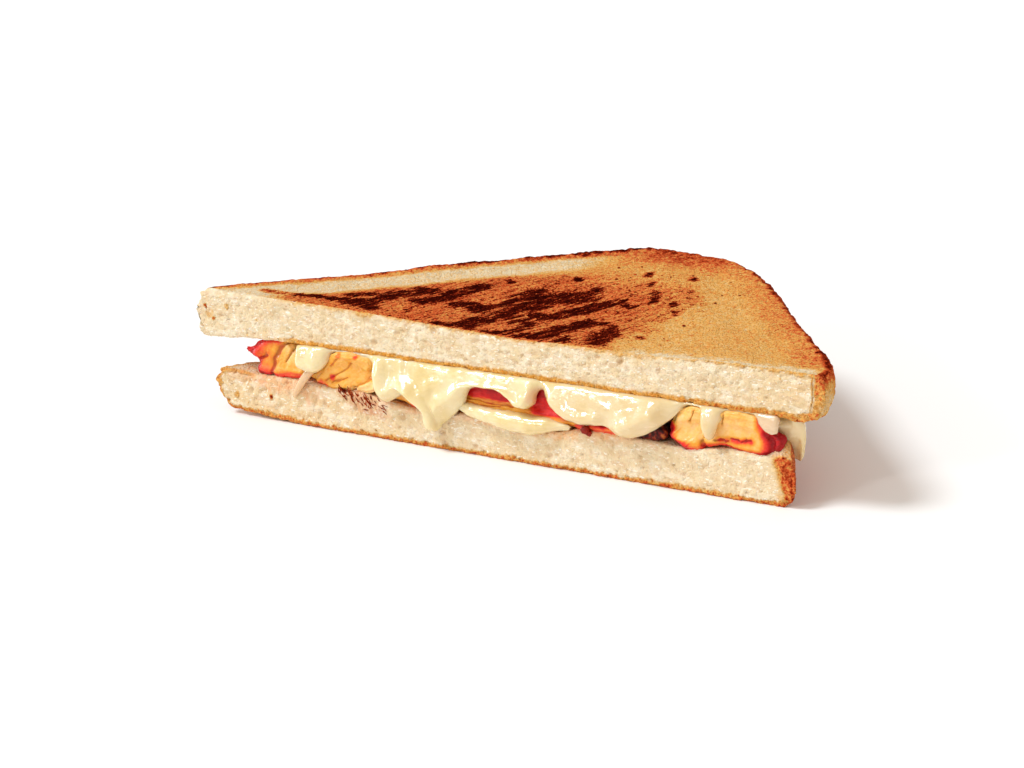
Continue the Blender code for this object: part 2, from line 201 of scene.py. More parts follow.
def shares(cells, seed):
    """A fixed random share between 0 and 1 for each cell."""
    return scrambled(cells, seed).astype(float) / 2**32


def swells(points, seed=1):
    """Gradient noise between about -1 and 1."""
    cells = np.floor(points)
    inside = points - cells
    ease = inside**3 * (inside * (inside * 6.0 - 15.0) + 10.0)
    total = np.zeros(len(points))
    for corner in np.ndindex(2, 2, 2):
        corner = np.array(corner)
        number = scrambled(cells + corner, seed)
        parts = [(number >> np.uint64(bits)) & np.uint64(255) for bits in (0, 8, 16)]
        slopes = np.stack(parts, 1).astype(float) / 127.5 - 1.0
        weight = np.prod(np.where(corner == 1, ease, 1.0 - ease), axis=1)
        total += weight * (slopes * (inside - corner)).sum(axis=1)
    return np.clip(total * 1.7, -1.0, 1.0)


def rough(points, octaves=3, seed=1):
    """Gradient noise with finer and finer noise on top."""
    total, size, reach = np.zeros(len(points)), 1.0, 0.0
    for octave in range(octaves):
        total += size * swells(points * 2.0**octave + 17.3 * octave, seed + octave)
        reach += size
        size *= 0.5
    return total / reach


def nearest_cells(points, seed=1):
    """Distance to the nearest scattered point, and that point's random share."""
    cells = np.floor(points)
    best = np.full(len(points), 9.0)
    owner = np.zeros(len(points))
    for step in np.ndindex(3, 3, 3):
        cell = cells + np.array(step) - 1
        spot = cell + np.stack([shares(cell, seed + k) for k in range(3)], 1)
        gap = np.linalg.norm(points - spot, axis=1)
        closer = gap < best
        best = np.where(closer, gap, best)
        owner = np.where(closer, shares(cell, seed + 7), owner)
    return best, owner


def to_strokes(flat, strokes):
    """How far flat points lie from the nearest of some pen strokes, as a share of that stroke's half width.

    A stroke is its half width, then its points."""
    best = np.full(len(flat), 99.0)
    for width, *line in strokes:
        for a, b in zip(line[:-1], line[1:]):
            a, along = np.array(a), np.array(b) - np.array(a)
            share = np.clip(((flat - a) @ along) / max(along @ along, 1e-9), 0.0, 1.0)
            best = np.minimum(best, np.linalg.norm(flat - a - share[:, None] * along, axis=1) / width)
    return best


trial = swells(np.random.default_rng(1).uniform(-40, 40, (2000, 3)))
print("noise runs from", trial.min().round(2), "to", trial.max().round(2))

# %% [markdown]
# ## Joining blobs to a form
#
# Meat and cheese spill a little beyond the simple solids. Clay workers press small balls onto a form and
# smear them in, and the same works here: balls in a row are added to a copy of the solid, and the fine grid
# of the next step fuses them with it.


# %% Blobs joined to a form
BEAD_STEP = 0.5  # millimetres from one blob to the next


def bead(shell, x, proud, z, radius):
    """A small round blob in front of the cut, or behind it where proud is below zero."""
    where = Matrix.Translation(Vector((x, CUT - proud, z)) * MM)
    bmesh.ops.create_icosphere(shell, subdivisions=2, radius=radius * MM, matrix=where)


def bead_line(shell, *spots):
    """Blobs along a line of (x, proud, z, radius) spots."""
    for a, b in zip(spots[:-1], spots[1:]):
        a, b = np.array(a), np.array(b)
        count = max(2, int(np.linalg.norm((b - a)[:3]) / BEAD_STEP))
        for t in np.linspace(0.0, 1.0, count):
            bead(shell, *(a + (b - a) * t))


# %% [markdown]
# ## From a solid to a fine skin
#
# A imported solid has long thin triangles, which can't carry pores. The Remesh modifier lays an even grid of
# small faces over it instead, and where the knife went the faces are split once more, because crumb is finer
# than crust. The result is a new mesh, so the solid itself stays as it is.


# %% A fine skin
CUT_DEPTH = 1.6  # faces this near to the cut belong to it


def fine_copy(node, name, voxel, cut_splits=1, lines=()):
    """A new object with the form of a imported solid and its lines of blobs, in faces of about one voxel in
    millimetres, and finer at the cut."""
    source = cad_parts[node].data.copy()
    if lines:
        shell = bmesh.new()
        shell.from_mesh(source)
        for line in lines:
            bead_line(shell, *line)
        shell.to_mesh(source)
        shell.free()
    piece = bpy.data.objects.new(name, source)
    bpy.context.scene.collection.objects.link(piece)
    grid = piece.modifiers.new("grid", "REMESH")
    grid.mode = "VOXEL"
    grid.voxel_size = voxel * MM
    seen = piece.evaluated_get(bpy.context.evaluated_depsgraph_get())
    mesh = bpy.data.meshes.new_from_object(seen)
    piece.modifiers.clear()
    piece.data = mesh
    mesh.name = name
    for _ in range(cut_splits):
        shell = bmesh.new()
        shell.from_mesh(mesh)
        at_front = (CUT + CUT_DEPTH) * MM
        front = [f for f in shell.faces if f.normal.y < -0.6 and f.calc_center_median().y < at_front]
        edges = list({e for f in front for e in f.edges})
        bmesh.ops.subdivide_edges(shell, edges=edges, cuts=1, use_grid_fill=True)
        shell.to_mesh(mesh)
        shell.free()
    mesh.materials.clear()
    mesh.shade_smooth()
    return piece


def points_of(piece):
    """The piece's points in millimetres."""
    flat = np.empty(len(piece.data.vertices) * 3)
    piece.data.vertices.foreach_get("co", flat)
    return flat.reshape(-1, 3) / MM


def normals_of(piece):
    """Which way the skin faces at each point."""
    flat = np.empty(len(piece.data.vertices) * 3)
    piece.data.vertex_normals.foreach_get("vector", flat)
    return flat.reshape(-1, 3)


def move_to(piece, points):
    """Moves the piece's points to new places in millimetres."""
    piece.data.vertices.foreach_set("co", (points * MM).ravel())
    piece.data.update()


def paint(piece, name, values):
    """Keeps a number for each point of the mesh, for its finish to read."""
    layer = piece.data.attributes.new(name, "FLOAT", "POINT")
    layer.data.foreach_set("value", np.asarray(values, float))


def soften(piece, times):
    """Rounds a mesh off, as melting does."""
    shell = bmesh.new()
    shell.from_mesh(piece.data)
    every_way = {"use_axis_x": True, "use_axis_y": True, "use_axis_z": True}
    for _ in range(times):
        bmesh.ops.smooth_vert(shell, verts=shell.verts, factor=0.5, **every_way)
    shell.to_mesh(piece.data)
    shell.free()


def place(piece, node):
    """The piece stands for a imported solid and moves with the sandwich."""
    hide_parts(node)
    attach(piece, "root")
    print(piece.name, "has", len(piece.data.vertices), "points")


# %% [markdown]
# ## Finishes
#
# A finish is a graph of nodes. Written out one by one, nodes hide the sum they work out, so a small class
# wraps a socket and lets Python's own operators add the Math nodes.


# %% A socket that can be calculated with
class Value:
    """A socket of a finish, which adds, subtracts and multiplies like a number."""

    def __init__(self, finish, socket):
        self.finish = finish
        self.socket = socket

    def _math(self, operation, first, second):
        """Adds a Math node."""
        return self.finish.node("ShaderNodeMath", {"operation": operation}, {0: first, 1: second})

    def __add__(self, other):
        return self._math("ADD", self, other)

    def __radd__(self, other):
        return self._math("ADD", other, self)

    def __sub__(self, other):
        return self._math("SUBTRACT", self, other)

    def __rsub__(self, other):
        return self._math("SUBTRACT", other, self)

    def __mul__(self, other):
        return self._math("MULTIPLY", self, other)

    def between(self, low, high):
        """0 below low, 1 above high, and a soft step from one to the other."""
        inputs = {0: self, 1: low, 2: high, 3: 0.0, 4: 1.0}
        return self.finish.node("ShaderNodeMapRange", {"interpolation_type": "SMOOTHSTEP"}, inputs)


def linear(code):
    """A colour written as on a paint card, in the linear light that a shader works with."""
    parts = [int(code[k : k + 2], 16) / 255 for k in (1, 3, 5)]
    return [p / 12.92 if p <= 0.04045 else ((p + 0.055) / 1.055) ** 2.4 for p in parts] + [1.0]


class Finish:
    """A material with one shader. Constant values go straight to the shader, and what varies is linked."""

    def __init__(self, name, roughness, **fixed):
        self.material = bpy.data.materials.new(name)
        self.material.use_nodes = True
        self.tree = self.material.node_tree
        self.shader = self.tree.nodes["Principled BSDF"]
        self.shader.inputs["Roughness"].default_value = roughness
        for socket, value in fixed.items():
            self.shader.inputs[socket.replace("_", " ")].default_value = value
        self.place = self.node("ShaderNodeTexCoord", {}, {}, "Object")

    def node(self, kind, settings, inputs, output=0):
        """Adds a node, links or sets its inputs, and gives one of its outputs."""
        made = self.tree.nodes.new(kind)
        for name, value in settings.items():
            if name == "stops":
                ramp = made.color_ramp.elements
                for spot, shade in value[1:-1]:
                    ramp.new(spot).color = linear(shade)
                ramp[0].position, ramp[0].color = value[0][0], linear(value[0][1])
                ramp[-1].position, ramp[-1].color = value[-1][0], linear(value[-1][1])
            else:
                setattr(made, name, value)
        for socket, value in inputs.items():
            if isinstance(value, Value):
                self.tree.links.new(value.socket, made.inputs[socket])
            else:
                made.inputs[socket].default_value = value
        return Value(self, made.outputs[output])

    def painted(self, name):
        """A number that was painted on the mesh."""
        return self.node("ShaderNodeAttribute", {"attribute_name": name}, {}, "Fac")

    def grain(self, size, detail=2.0, stretch=(1.0, 1.0, 1.0), lean=0.0):
        """Noise from 0 to 1 whose swells are about size millimetres wide, longer along a stretched axis.

        Seen from above, the first axis leans so many degrees from the cut."""
        settings = {"vector_type": "TEXTURE"}
        scale = [size * MM * s for s in stretch]
        inputs = {"Vector": self.place, "Rotation": (0.0, 0.0, math.radians(lean)), "Scale": scale}
        where = self.node("ShaderNodeMapping", settings, inputs)
        return self.node("ShaderNodeTexNoise", {}, {"Vector": where, "Scale": 1.0, "Detail": detail}, 0)

    def pores(self, size):
        """Distance to the nearest of some scattered points, which are about size millimetres apart."""
        return self.node("ShaderNodeTexVoronoi", {}, {"Vector": self.place, "Scale": 1.0 / (size * MM)}, 0)

    def ramp(self, value, *stops):
        """A colour scale, given as stops of (value, colour)."""
        return self.node("ShaderNodeValToRGB", {"stops": stops}, {0: value})

    def mix(self, share, first, second):
        """The first colour, with a share of the second mixed in."""
        inputs = {"Factor": share, 6: first, 7: second}
        inputs = {k: linear(v) if isinstance(v, str) else v for k, v in inputs.items()}
        return self.node("ShaderNodeMix", {"data_type": "RGBA"}, inputs, 2)

    def finish_with(self, height=None, depth=0.3, **sockets):
        """Links what varies to the shader; height goes through a bump of so many millimetres."""
        for name, value in sockets.items():
            self.tree.links.new(value.socket, self.shader.inputs[name.replace("_", " ")])
        if height is not None:
            inputs = {"Height": height, "Distance": depth * MM, "Strength": 1.0}
            bump = self.node("ShaderNodeBump", {}, inputs)
            self.tree.links.new(bump.socket, self.shader.inputs["Normal"])
        print("the finish", self.material.name, "has", len(self.tree.nodes), "nodes")
        return self.material


white = Finish("white_table", 0.7)
shade = white.mix(white.grain(400.0), "#F9F8F6", "#FBFAF8")
floor_mesh.materials.append(white.finish_with(Base_Color=shade))

# %% [markdown]
# ## Bread: where heat and knife have been
#
# The crumb is nearly white. Colour comes from the toaster, so each spot of a slice gets one number, its
# toasting, from 0 for untouched crumb to 1 for charcoal, and one colour scale turns it into a colour. The
# number is worked out from places that a cook would name: how far in from the crust, how far behind the cut,
# and which streaks were pressed against the hot ribs.


# %% The outline of a slice
def outline_of(node):
    """The slice seen from above, as a convex loop of corners, anticlockwise."""
    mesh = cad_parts[node].data
    spots = sorted({(round(v.co.x / MM, 3), round(v.co.y / MM, 3)) for v in mesh.vertices})

    def half(spots):
        """One side of the loop, from the first of the sorted spots to the last."""
        chain = []
        for spot in spots:
            while len(chain) > 1:
                (ax, ay), (bx, by) = chain[-2], chain[-1]
                if (bx - ax) * (spot[1] - ay) - (by - ay) * (spot[0] - ax) > 0:
                    break
                chain.pop()
            chain.append(spot)
        return chain[:-1]

    return np.array(half(spots) + half(spots[::-1]))


def from_crust(points, outline):
    """How far in from the crust each point lies, and which way the nearest crust faces (-1 left, 1 right)."""
    best = np.full(len(points), 999.0)
    faces = np.zeros(len(points))
    for a, b in zip(outline, np.roll(outline, -1, axis=0)):
        if max(a[1], b[1]) < CUT + 0.6:  # the edge along the cut has no crust
            continue
        along = b - a
        length = np.linalg.norm(along)
        along = along / length
        away = points[:, :2] - a
        reach = np.clip(away @ along, 0.0, length)
        gap = np.linalg.norm(away - reach[:, None] * along, axis=1)
        closer = gap < best
        best = np.where(closer, gap, best)
        faces = np.where(closer, along[1], faces)
    return best, faces


UPPER_OUTLINE = outline_of("bread_upper")
LOWER_OUTLINE = outline_of("bread_lower")
print("outlines of", len(UPPER_OUTLINE), "and", len(LOWER_OUTLINE), "corners")

# %% [markdown]
# ## Crumb
#
# Crumb is a foam of bubbles from a third of a millimetre to three across, torn open by the knife. Bubbles are
# cell noise: a share of the scattered points become hollows with a soft rim. A press squeezes the bubbles
# flat, so the noise is squashed in height.


# %% Crumb relief
# Kinds of bubble: size, the share of them that are open, depth, and a seed.
BUBBLES = ((2.6, 0.13, 0.5, 3), (1.5, 0.2, 0.34, 13), (0.85, 0.34, 0.2, 23))


def crumb_relief(points):
    """How deep each point of a cut face lies, in millimetres, and how much of that is a pore (0 to 1)."""
    squashed = points * np.array([1.0, 1.0, 1.35])
    wander = np.stack([rough(squashed / 1.5 + 9.1 * k, 2, 31 + k) for k in range(3)], 1)
    depth = np.zeros(len(points))
    for size, share, deep, seed in BUBBLES:
        gap, lot = nearest_cells((squashed + 0.6 * wander) / size, seed)
        depth = depth + deep * fall(gap, 0.46, 0.34) * (lot < share)
    pore = smooth(depth / 0.6)
    x, y, z = points.T
    wisps = 1.0 - np.abs(rough(np.column_stack([(x - z) * 0.34, y * 0.8, (x + z) * 0.8]), 3, 41)) * 2.0
    return depth - 0.26 * wisps - 0.3 * rough(points / 3.0, 2, 51), pore


# %% Where the top was pressed against the hot ribs
# Half width of each streak, then its points as (x, distance behind the cut).
CHAR_STREAKS = (
    (0.8, (-65, 4.4), (-58, 5.4), (-52, 6.4), (-46, 6.0), (-40, 7.2)),
    (1.4, (-42.5, 4.2), (-38, 4.4), (-35.5, 4.2)),
    (1.7, (-38, 6), (-36.5, 10), (-36.5, 14), (-33, 16.5), (-31, 19.5)), (1.0, (-46, 10), (-41, 12)),
    (1.1, (-35, 20.5), (-32, 20)), (1.7, (-26, 14.5), (-25.2, 19), (-24.3, 22.5), (-22, 26.5)),
    (1.0, (-30, 12.4), (-26.5, 12.2)), (1.3, (-20, 14.6), (-16.5, 15.6), (-13, 13.6)),
    (1.0, (-12.5, 16), (-11, 21)), (1.8, (-15.5, 0.6), (-9, 0.4)),
    (2.0, (-11, 2.5), (-9.3, 8), (-7.6, 12.5), (-6.4, 17), (-5, 21)),
    (2.5, (-8.6, 24.5), (-5, 26.3), (-1, 28.8), (1.6, 30.6)), (1.0, (1.6, 31), (1.6, 36)),
    (0.9, (-12, 27), (-9, 31)), (1.5, (1, 16), (4, 20), (6, 22.5), (8, 27), (10.5, 30.5)),
    (1.2, (-1.5, 17), (2, 16)), (1.0, (-10.5, 24), (-9, 20)),
    (1.2, (-4, 1), (0, 3), (1.6, 6.5), (0.6, 10.5)), (1.8, (7.4, 3.5), (9.2, 7), (10, 11), (12, 13.5)),
    (1.2, (10.5, 14), (11.5, 17)), (1.9, (18.8, 12), (20.4, 8.5), (21.6, 5)),
    (1.3, (20.5, 12.5), (22.4, 9)), (0.9, (14.5, 16.5), (18.5, 15)), (0.9, (13, -1), (14.6, 4)),
    (0.9, (3, -1), (4.4, 4)), (0.8, (-2.5, 10), (-1, 14)), (0.7, (-20, 34), (-18.6, 32.4)),
    (0.7, (-6.4, 41.2), (-5.4, 39.8)), (0.6, (6.6, 50), (7.4, 48)), (0.6, (11, 44), (11.8, 42)),
    (0.6, (15.4, 38), (16.4, 36.6)), (0.7, (17, 35), (18, 33)), (0.8, (13.6, 29), (15.6, 28.6)),
    (0.6, (22.4, 33.6), (23.6, 31.8)), (0.6, (26, 28.6), (27, 26.8)), (0.6, (17, 51), (18, 49.6)),
    (0.6, (28, 10.8), (29, 10)), (0.7, (-28, 7.5), (-27, 6)),
)
# Patches between them that stayed lighter, given the same way.
LIGHT_PATCHES = (
    (2.4, (-29, 5), (-24, 8), (-20, 9.5)), (1.8, (-18, 20.5), (-15.5, 21)), (1.8, (-17, 27), (-14, 28.5)),
    (1.3, (15.6, 8), (17, 13.5)), (1.8, (1.5, 42.5), (7, 39.5)), (1.2, (-2.6, 5), (-1, 9)),
    (1.6, (-52, 2.4), (-38, 1.2)),
)
STREAK_LEAN = 70.7  # degrees from the cut, seen from above


def pressed_on_ribs(points, inside):
    """How strongly each point was pressed against the ribs: over 0.5 is charcoal."""
    x, behind = points[:, 0], points[:, 1] - CUT
    flat = np.column_stack([x, behind])
    turn = math.radians(STREAK_LEAN)
    along = flat @ np.array([math.cos(turn), math.sin(turn)])
    across = flat @ np.array([math.sin(turn), -math.cos(turn)])
    streaky = rough(np.column_stack([along / 5.5, across / 1.5, 0 * x]), 3, 61)
    ragged = np.column_stack([rough(points / 1.7, 3, 62), rough(points / 1.7 + 40.0, 3, 63)])
    zone = rise(x, -72, 18) * smooth((32 - x + 5.0 * rough(points / 7.0, 2, 64)) / 11)
    zone = zone * smooth((inside - 10 - 0.16 * np.clip(x + 62, 0, 12)) / 5) * fall(behind, 53, 20)
    gap = to_strokes(flat + 0.8 * ragged, CHAR_STREAKS)
    light = to_strokes(flat + 1.2 * ragged, LIGHT_PATCHES)
    core = fall(gap, 2.3, 1.7)
    char = 0.26 * zone + 0.32 * streaky * zone + core * (0.82 + 0.36 * streaky)
    char = char * (1.0 - 0.6 * fall(light, 1.8, 1.2))
    edge = smooth((behind - 0.2 + 0.5 * ragged[:, 0]) / 1.6)
    return np.clip(np.maximum(char * edge, 0.2 * zone), 0, 1)


# %% The upper slice's toasting
def upper_toasting(points, inside, faces):
    """The toasting of the upper slice's top, apart from the charred streaks."""
    x, behind = points[:, 0], points[:, 1] - CUT
    slow, edge = rough(points / 8.0, 2, 81), rough(points / 2.6, 3, 91)
    quick = rough(points / 1.0, 2, 95)
    left = smooth(-faces * 3.0 + 0.5)
    toast = 0.345 + 0.045 * slow + 0.03 * edge
    toast = toast + 0.11 * fall(inside, 12, 9) * (1.0 - left)
    toast = toast + 0.05 * fall(x, 26, 14) + 0.08 * rise(behind, 50, 14) * fall(x, 22, 10)
    # a pale band inside the left crust
    pale = smooth((inside - 4.9 + 0.9 * edge) / 1.3) * fall(inside, 14.0 + 1.6 * edge, 3.0)
    pale = pale * left * fall(x, -4, 12)
    toast = toward(toast, 0.12 + 0.06 * edge, pale)
    # two stretches along the cut that the heat hardly reached
    bare = smooth((4.4 - behind + 2.2 * edge + 1.5 * slow) / 3.4) * rise(x, 27, 10) * (1.0 + 0.3 * edge)
    bare = bare + smooth((4.4 - behind + 1.6 * edge) / 4.0) * fall(x, -50, 18)
    toast = toward(toast, 0.09, np.clip(bare, 0, 1))
    # the crust: brown, then dark, at the left, and dark at the right
    rim = fall(inside, 5.3 + 1.1 * edge, 1.5) * left
    toast = toward(toast, 0.50 + 0.05 * quick, rim * rise(x, -84, 14))
    rim = fall(inside, 3.9 + 1.2 * edge + 0.9 * slow + 0.5 * quick, 1.2) * left
    toast = toward(toast, 0.76 + 0.12 * edge, rim * rise(x, -86, 8))
    rim = fall(inside, 2.3 + 1.4 * edge + 0.4 * quick, 1.2) * (1.0 - left)
    toast = toward(toast, 0.7 + 0.14 * edge, rim * rise(x, -2, 8))
    # the far corner
    apex = smooth((behind - 57 + 4 * edge) / 7) * smooth((22 - x + 4 * edge) / 9) * rise(x, -6, 8)
    toast = toast + apex * (0.6 + 0.16 * quick + 0.1 * edge - toast) * 0.85
    return toast + 0.03 * quick


# %% The upper slice
BREAD_VOXEL = 0.5
COLUMN_WIDTH = 4.0


def height_along_cut(node, pick):
    """A function that gives the lowest or highest point of a node's cut face at any x."""
    near = [v.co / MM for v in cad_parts[node].data.vertices if v.co.y / MM < CUT + 0.2]
    columns = {}
    for spot in near:
        columns.setdefault(round(spot.x / COLUMN_WIDTH), []).append((spot.x, spot.z))
    line = sorted(pick(column, key=lambda s: s[1]) for column in columns.values())
    across, heights = zip(*line)
    return lambda x: np.interp(x, across, heights)


def dress_slice(node, name, outline, toasting, cut_toasting, wall_toasting, ridge=0.0, lift=None):
    """One slice of toasted bread: crumb at the cut, crust round the back, toast above and below. The ridge is
    how far the crust stands above the toast, and lift raises points by what it works out for them."""
    piece = fine_copy(node, name, BREAD_VOXEL)
    points, normals = points_of(piece), normals_of(piece)
    inside, faces = from_crust(points, outline)
    # how much each point belongs to the cut, to the flat sides and to the wall
    behind = points[:, 1] - CUT
    cut = rise(-normals[:, 1], 0.35, 0.3) * fall(behind, 1.2, 0.7)
    flat = rise(np.abs(normals[:, 2]), 0.5, 0.35)
    wall = (1.0 - cut) * (1.0 - flat)

    # relief of its own for crumb, crust and toast
    depth, pore = crumb_relief(points)
    crust = 0.45 * rough(points / 1.5, 3, 101) + 0.35 * rough(points / 5.0, 2, 111)
    toast_relief = 0.13 * rough(points / 1.0, 2, 121) + 0.1 * rough(points / 3.0, 2, 131)
    near = fall(inside, 2.4, 1.6) * (1.0 - cut)
    crust = crust * (1.0 + 0.5 * fall(points[:, 0], -72, 5))
    out = -cut * depth + np.maximum(wall, 0.8 * near) * crust
    out = out + (1.0 - cut) * flat * (1.0 - near) * toast_relief
    moved = points + normals * out[:, None]
    # a lumpy ridge along the left crust
    standing = fall(inside, 4.8, 1.6) * rise(inside, 0.6, 1.6) * (normals[:, 2] > 0.3) * (behind > 1.0)
    lumpy = 0.4 + 0.6 * rough(points / 1.1, 3, 161) + 0.5 * rough(points / 4.0, 2, 165)
    left_side = smooth(-faces * 3.0 + 0.9)
    growth = 0.35 + 0.65 * rise(points[:, 0], -72, 44)
    moved[:, 2] += ridge * standing * np.clip(lumpy, 0, 1.2) * left_side * growth
    # a ragged left tip
    tip = fall(points[:, 0], points[:, 0].min() + 3.6, 2.0)
    moved[:, 0] += (0.3 + 1.1 * rough(points * np.array([1.0, 0.5, 1.0]) / 1.5, 3, 163)) * tip
    if lift is not None:
        moved[:, 2] += lift(points)
    moved[:, 2] = np.maximum(moved[:, 2], 0.0)
    move_to(piece, moved)

    at_cut = cut_toasting(points, inside)
    elsewhere = flat * toasting(points, inside, faces) + (1.0 - flat) * wall_toasting(points)
    crumb = cut * fall(at_cut, 0.32, 0.14)
    paint(piece, "toast", cut * at_cut + (1.0 - cut) * elsewhere)
    # where the pores are, for the painted shade in the finish
    paint(piece, "pore", crumb * pore)
    paint(piece, "crumb", crumb)
    upwards = rise(normals[:, 2], 0.3, 0.4) * (1.0 - cut)
    return piece, points, inside, cut, upwards


def specks(points, spots):
    """Small scorched spots on a cut face, each given as x, z, radius and strength."""
    x, z = points[:, 0] + 0.3 * rough(points / 0.8, 2, 171), points[:, 2]
    scorched = np.zeros(len(points))
    for across, upright, radius, strength in spots:
        scorched = scorched + strength * fall(np.hypot(x - across, z - upright), radius, 0.4)
    return scorched


under_of_upper = height_along_cut("bread_upper", min)
top_of_upper = height_along_cut("bread_upper", max)
top_of_lower = height_along_cut("bread_lower", max)
UPPER_SPECKS = (
    (-78.8, 24.6, 0.7, 0.6), (-76.4, 21.9, 0.6, 0.6), (-77.8, 23.2, 1.6, 0.16), (-72.4, 25.0, 0.9, 0.22),
    (-64.0, 23.0, 0.5, 0.2),
)


def upper_cut_toasting(points, inside):
    """The crumb of the upper slice, with a golden line below and a crust at its right end."""
    x, z = points[:, 0], points[:, 2]
    quick, slow = rough(points / 1.1, 3, 151), rough(points / 4.0, 2, 155)
    above_edge = z - under_of_upper(x)
    line = fall(above_edge, 1.45 + 0.4 * quick + 0.25 * slow, 0.6) * rise(x, -62, 8)
    top_line = fall(top_of_upper(x) - z, 0.75 + 0.5 * slow + 0.3 * quick, 0.7) * rise(x, -62, 12)
    crust = fall(inside, 2.8 + 0.6 * slow + 0.3 * quick, 0.8) * smooth(x / 8)
    crack = smooth(1.0 - np.abs(inside - 2.9 - 0.7 * slow) / 0.3) * rise(x, 60, 4) * rise(z, 19.5, 2)
    tip = fall(inside, 0.5 + 0.5 * quick, 0.6) * fall(x, -60, 8)
    heat = 0.05 + 0.05 * slow + 0.06 * rise(x, 48, 25)
    browned = 0.345 + 0.06 * rise(x, 38, 14) + 0.07 * quick + 0.06 * slow
    heat = toward(heat, browned, np.maximum(line, 0.7 * top_line))
    golden = 0.32 + 0.18 * rise(z - TOP, -6.0, 5.0) + 0.08 * slow + 0.08 * quick
    heat = heat + (golden - heat) * crust + (0.5 - heat) * 0.75 * crack
    dark_specks = rise(rough(points / 0.7, 2, 157), 0.42, 0.12) * line
    spots = specks(points, UPPER_SPECKS)
    return np.clip(heat + 0.14 * tip + 0.42 * dark_specks + spots, 0, 1)


def upper_wall_toasting(points):
    """The crust round the back of the upper slice, browner towards its top, and paler at both tips."""
    quick, slow = rough(points / 1.4, 3, 141), rough(points / 6.0, 2, 145)
    x, behind = points[:, 0], points[:, 1] - CUT
    up_share = rise(points[:, 2] - TOP, -5.0, 4.0)
    brown = 0.52 + 0.1 * slow + 0.1 * quick + 0.14 * up_share
    right_tip = rise(x, 66, 8) * fall(behind, 10, 8)
    brown = toward(brown, 0.27 + 0.12 * quick + 0.08 * slow + 0.24 * up_share, right_tip)
    left_tip = fall(x, -76.5, 2.5) * (1.0 - up_share)
    return brown + (0.08 + 0.06 * slow - brown) * left_tip


upper, points, inside, cut, upwards = dress_slice(
    "bread_upper", "upper_slice", UPPER_OUTLINE, upper_toasting, upper_cut_toasting, upper_wall_toasting,
    ridge=0.75,
)
paint(upper, "char", pressed_on_ribs(points, inside) * upwards)
x = points[:, 0]
above_edge = points[:, 2] - under_of_upper(x)
golden_line = fall(above_edge, 1.5 + 0.6 * rough(points / 2.0, 3, 175), 0.8)
golden_line = golden_line * rise(x, -60, 10) * fall(x, 74, 8)
paint(upper, "golden", cut * golden_line * (0.7 - 0.45 * rise(x, 36, 16)))
paint(upper, "stain", np.zeros(len(points)))
paint(upper, "burnt", np.zeros(len(points)))
place(upper, "bread_upper")

# %% [markdown]
# ## The lower slice
#
# It lies face down on the table, so only its edges show. Its cut edge is browned underneath, its inner side
# took up orange oil from the chicken, and a few charred fibres lie at its front.


# %% The lower slice
def lower_toasting(points, inside, faces):
    """Crumb on the inner side and toast underneath; the nearest crust's side makes no difference here."""
    slow = rough(points / 7.0, 3, 181)
    above = rise(points[:, 2], 4.0, 3.0)
    outside = 0.42 + 0.12 * slow + 0.1 * rough(points / 2.0, 2, 185)
    inner = 0.07 + 0.05 * slow + 0.25 * fall(inside, 2.6, 1.6)
    return above * inner + (1.0 - above) * outside


LOWER_SPECKS = (
    (-61.6, 4.8, 0.55, 0.6), (-71.6, 4.6, 0.9, 0.2), (-49.8, 7.6, 0.4, 0.5), (-33.2, 1.8, 0.4, 0.5),
)


def lower_cut_toasting(points, inside):
    """The crumb of the lower slice, browned along the bottom and at both ends."""
    x, z = points[:, 0], points[:, 2]
    quick, slow = rough(points / 1.1, 3, 251), rough(points / 4.0, 2, 255)
    bottom = 1.1 * fall(x, -46.0, 30.0)
    line = fall(z - bottom, 1.55 + 0.5 * quick + 0.3 * slow, 0.9)
    crust = 3.9 + 0.25 * np.maximum(z - 4, 0) + 0.8 * slow + 0.3 * quick
    right_end = fall(inside, crust, 2.0) * smooth(x / 8)
    left_edge = np.interp(z, (1.0, 2.5, 4.5, 8.0, 10.5), (-71.5, -75.0, -76.8, -77.3, -76.0))
    left_end = fall(x - left_edge, 1.7 + 0.5 * quick + 0.3 * slow, 0.9)
    left_top = fall(top_of_lower(x) - z, 0.8 + 0.3 * quick, 0.6) * fall(x, -65, 3)
    left_end = np.maximum(left_end, left_top)
    heat = 0.055 + 0.04 * slow + 0.05 * fall(x, -22, 22)
    heat = toward(heat, 0.44 + 0.12 * quick, line)
    streaks = rough(np.column_stack([inside / 0.7, points[:, 1] / 3, z / 6]), 2, 257)
    heat = toward(heat, 0.54 + 0.05 * slow + 0.07 * streaks, right_end)
    spots = specks(points, LOWER_SPECKS)
    return np.clip(heat + (0.42 + 0.08 * quick - heat) * left_end * 0.85 + spots, 0, 1)


def lower_wall_toasting(points):
    """The crust round the back of the lower slice."""
    return 0.58 + 0.08 * rough(points / 1.4, 3, 241) + 0.08 * rough(points / 6.0, 2, 245)


# How far the inner side has risen, as (x, rise).
RISEN = (
    (-78, 0.0), (-72, 0.8), (-66, 1.5), (-61, 2.6), (-54, 3.2), (-50, 2.8), (-44, 2.3), (-36, 2.4),
    (-31, 1.5), (-24, 0.6), (-14, 1.2), (-8, 1.2), (14, 0.4), (19, 1.6), (28, 1.5), (34, 0.6),
    (44, 0.2), (50, 0.8), (54, 1.4), (58, 1.2), (62, 0.4), (70, 0.0),
)


def swollen(points):
    """How far the soft inner side rises to meet the filling, and the right end curls up behind the cut."""
    across, risen = zip(*RISEN)
    share = rise(points[:, 2], 3.0, 5.0) * fall(points[:, 1], -14, 12)
    curled = 3.0 * rise(points[:, 0], 61.5, 5.0) * rise(points[:, 1], CUT, 3.0)
    return (np.interp(points[:, 0], across, risen) + curled) * share


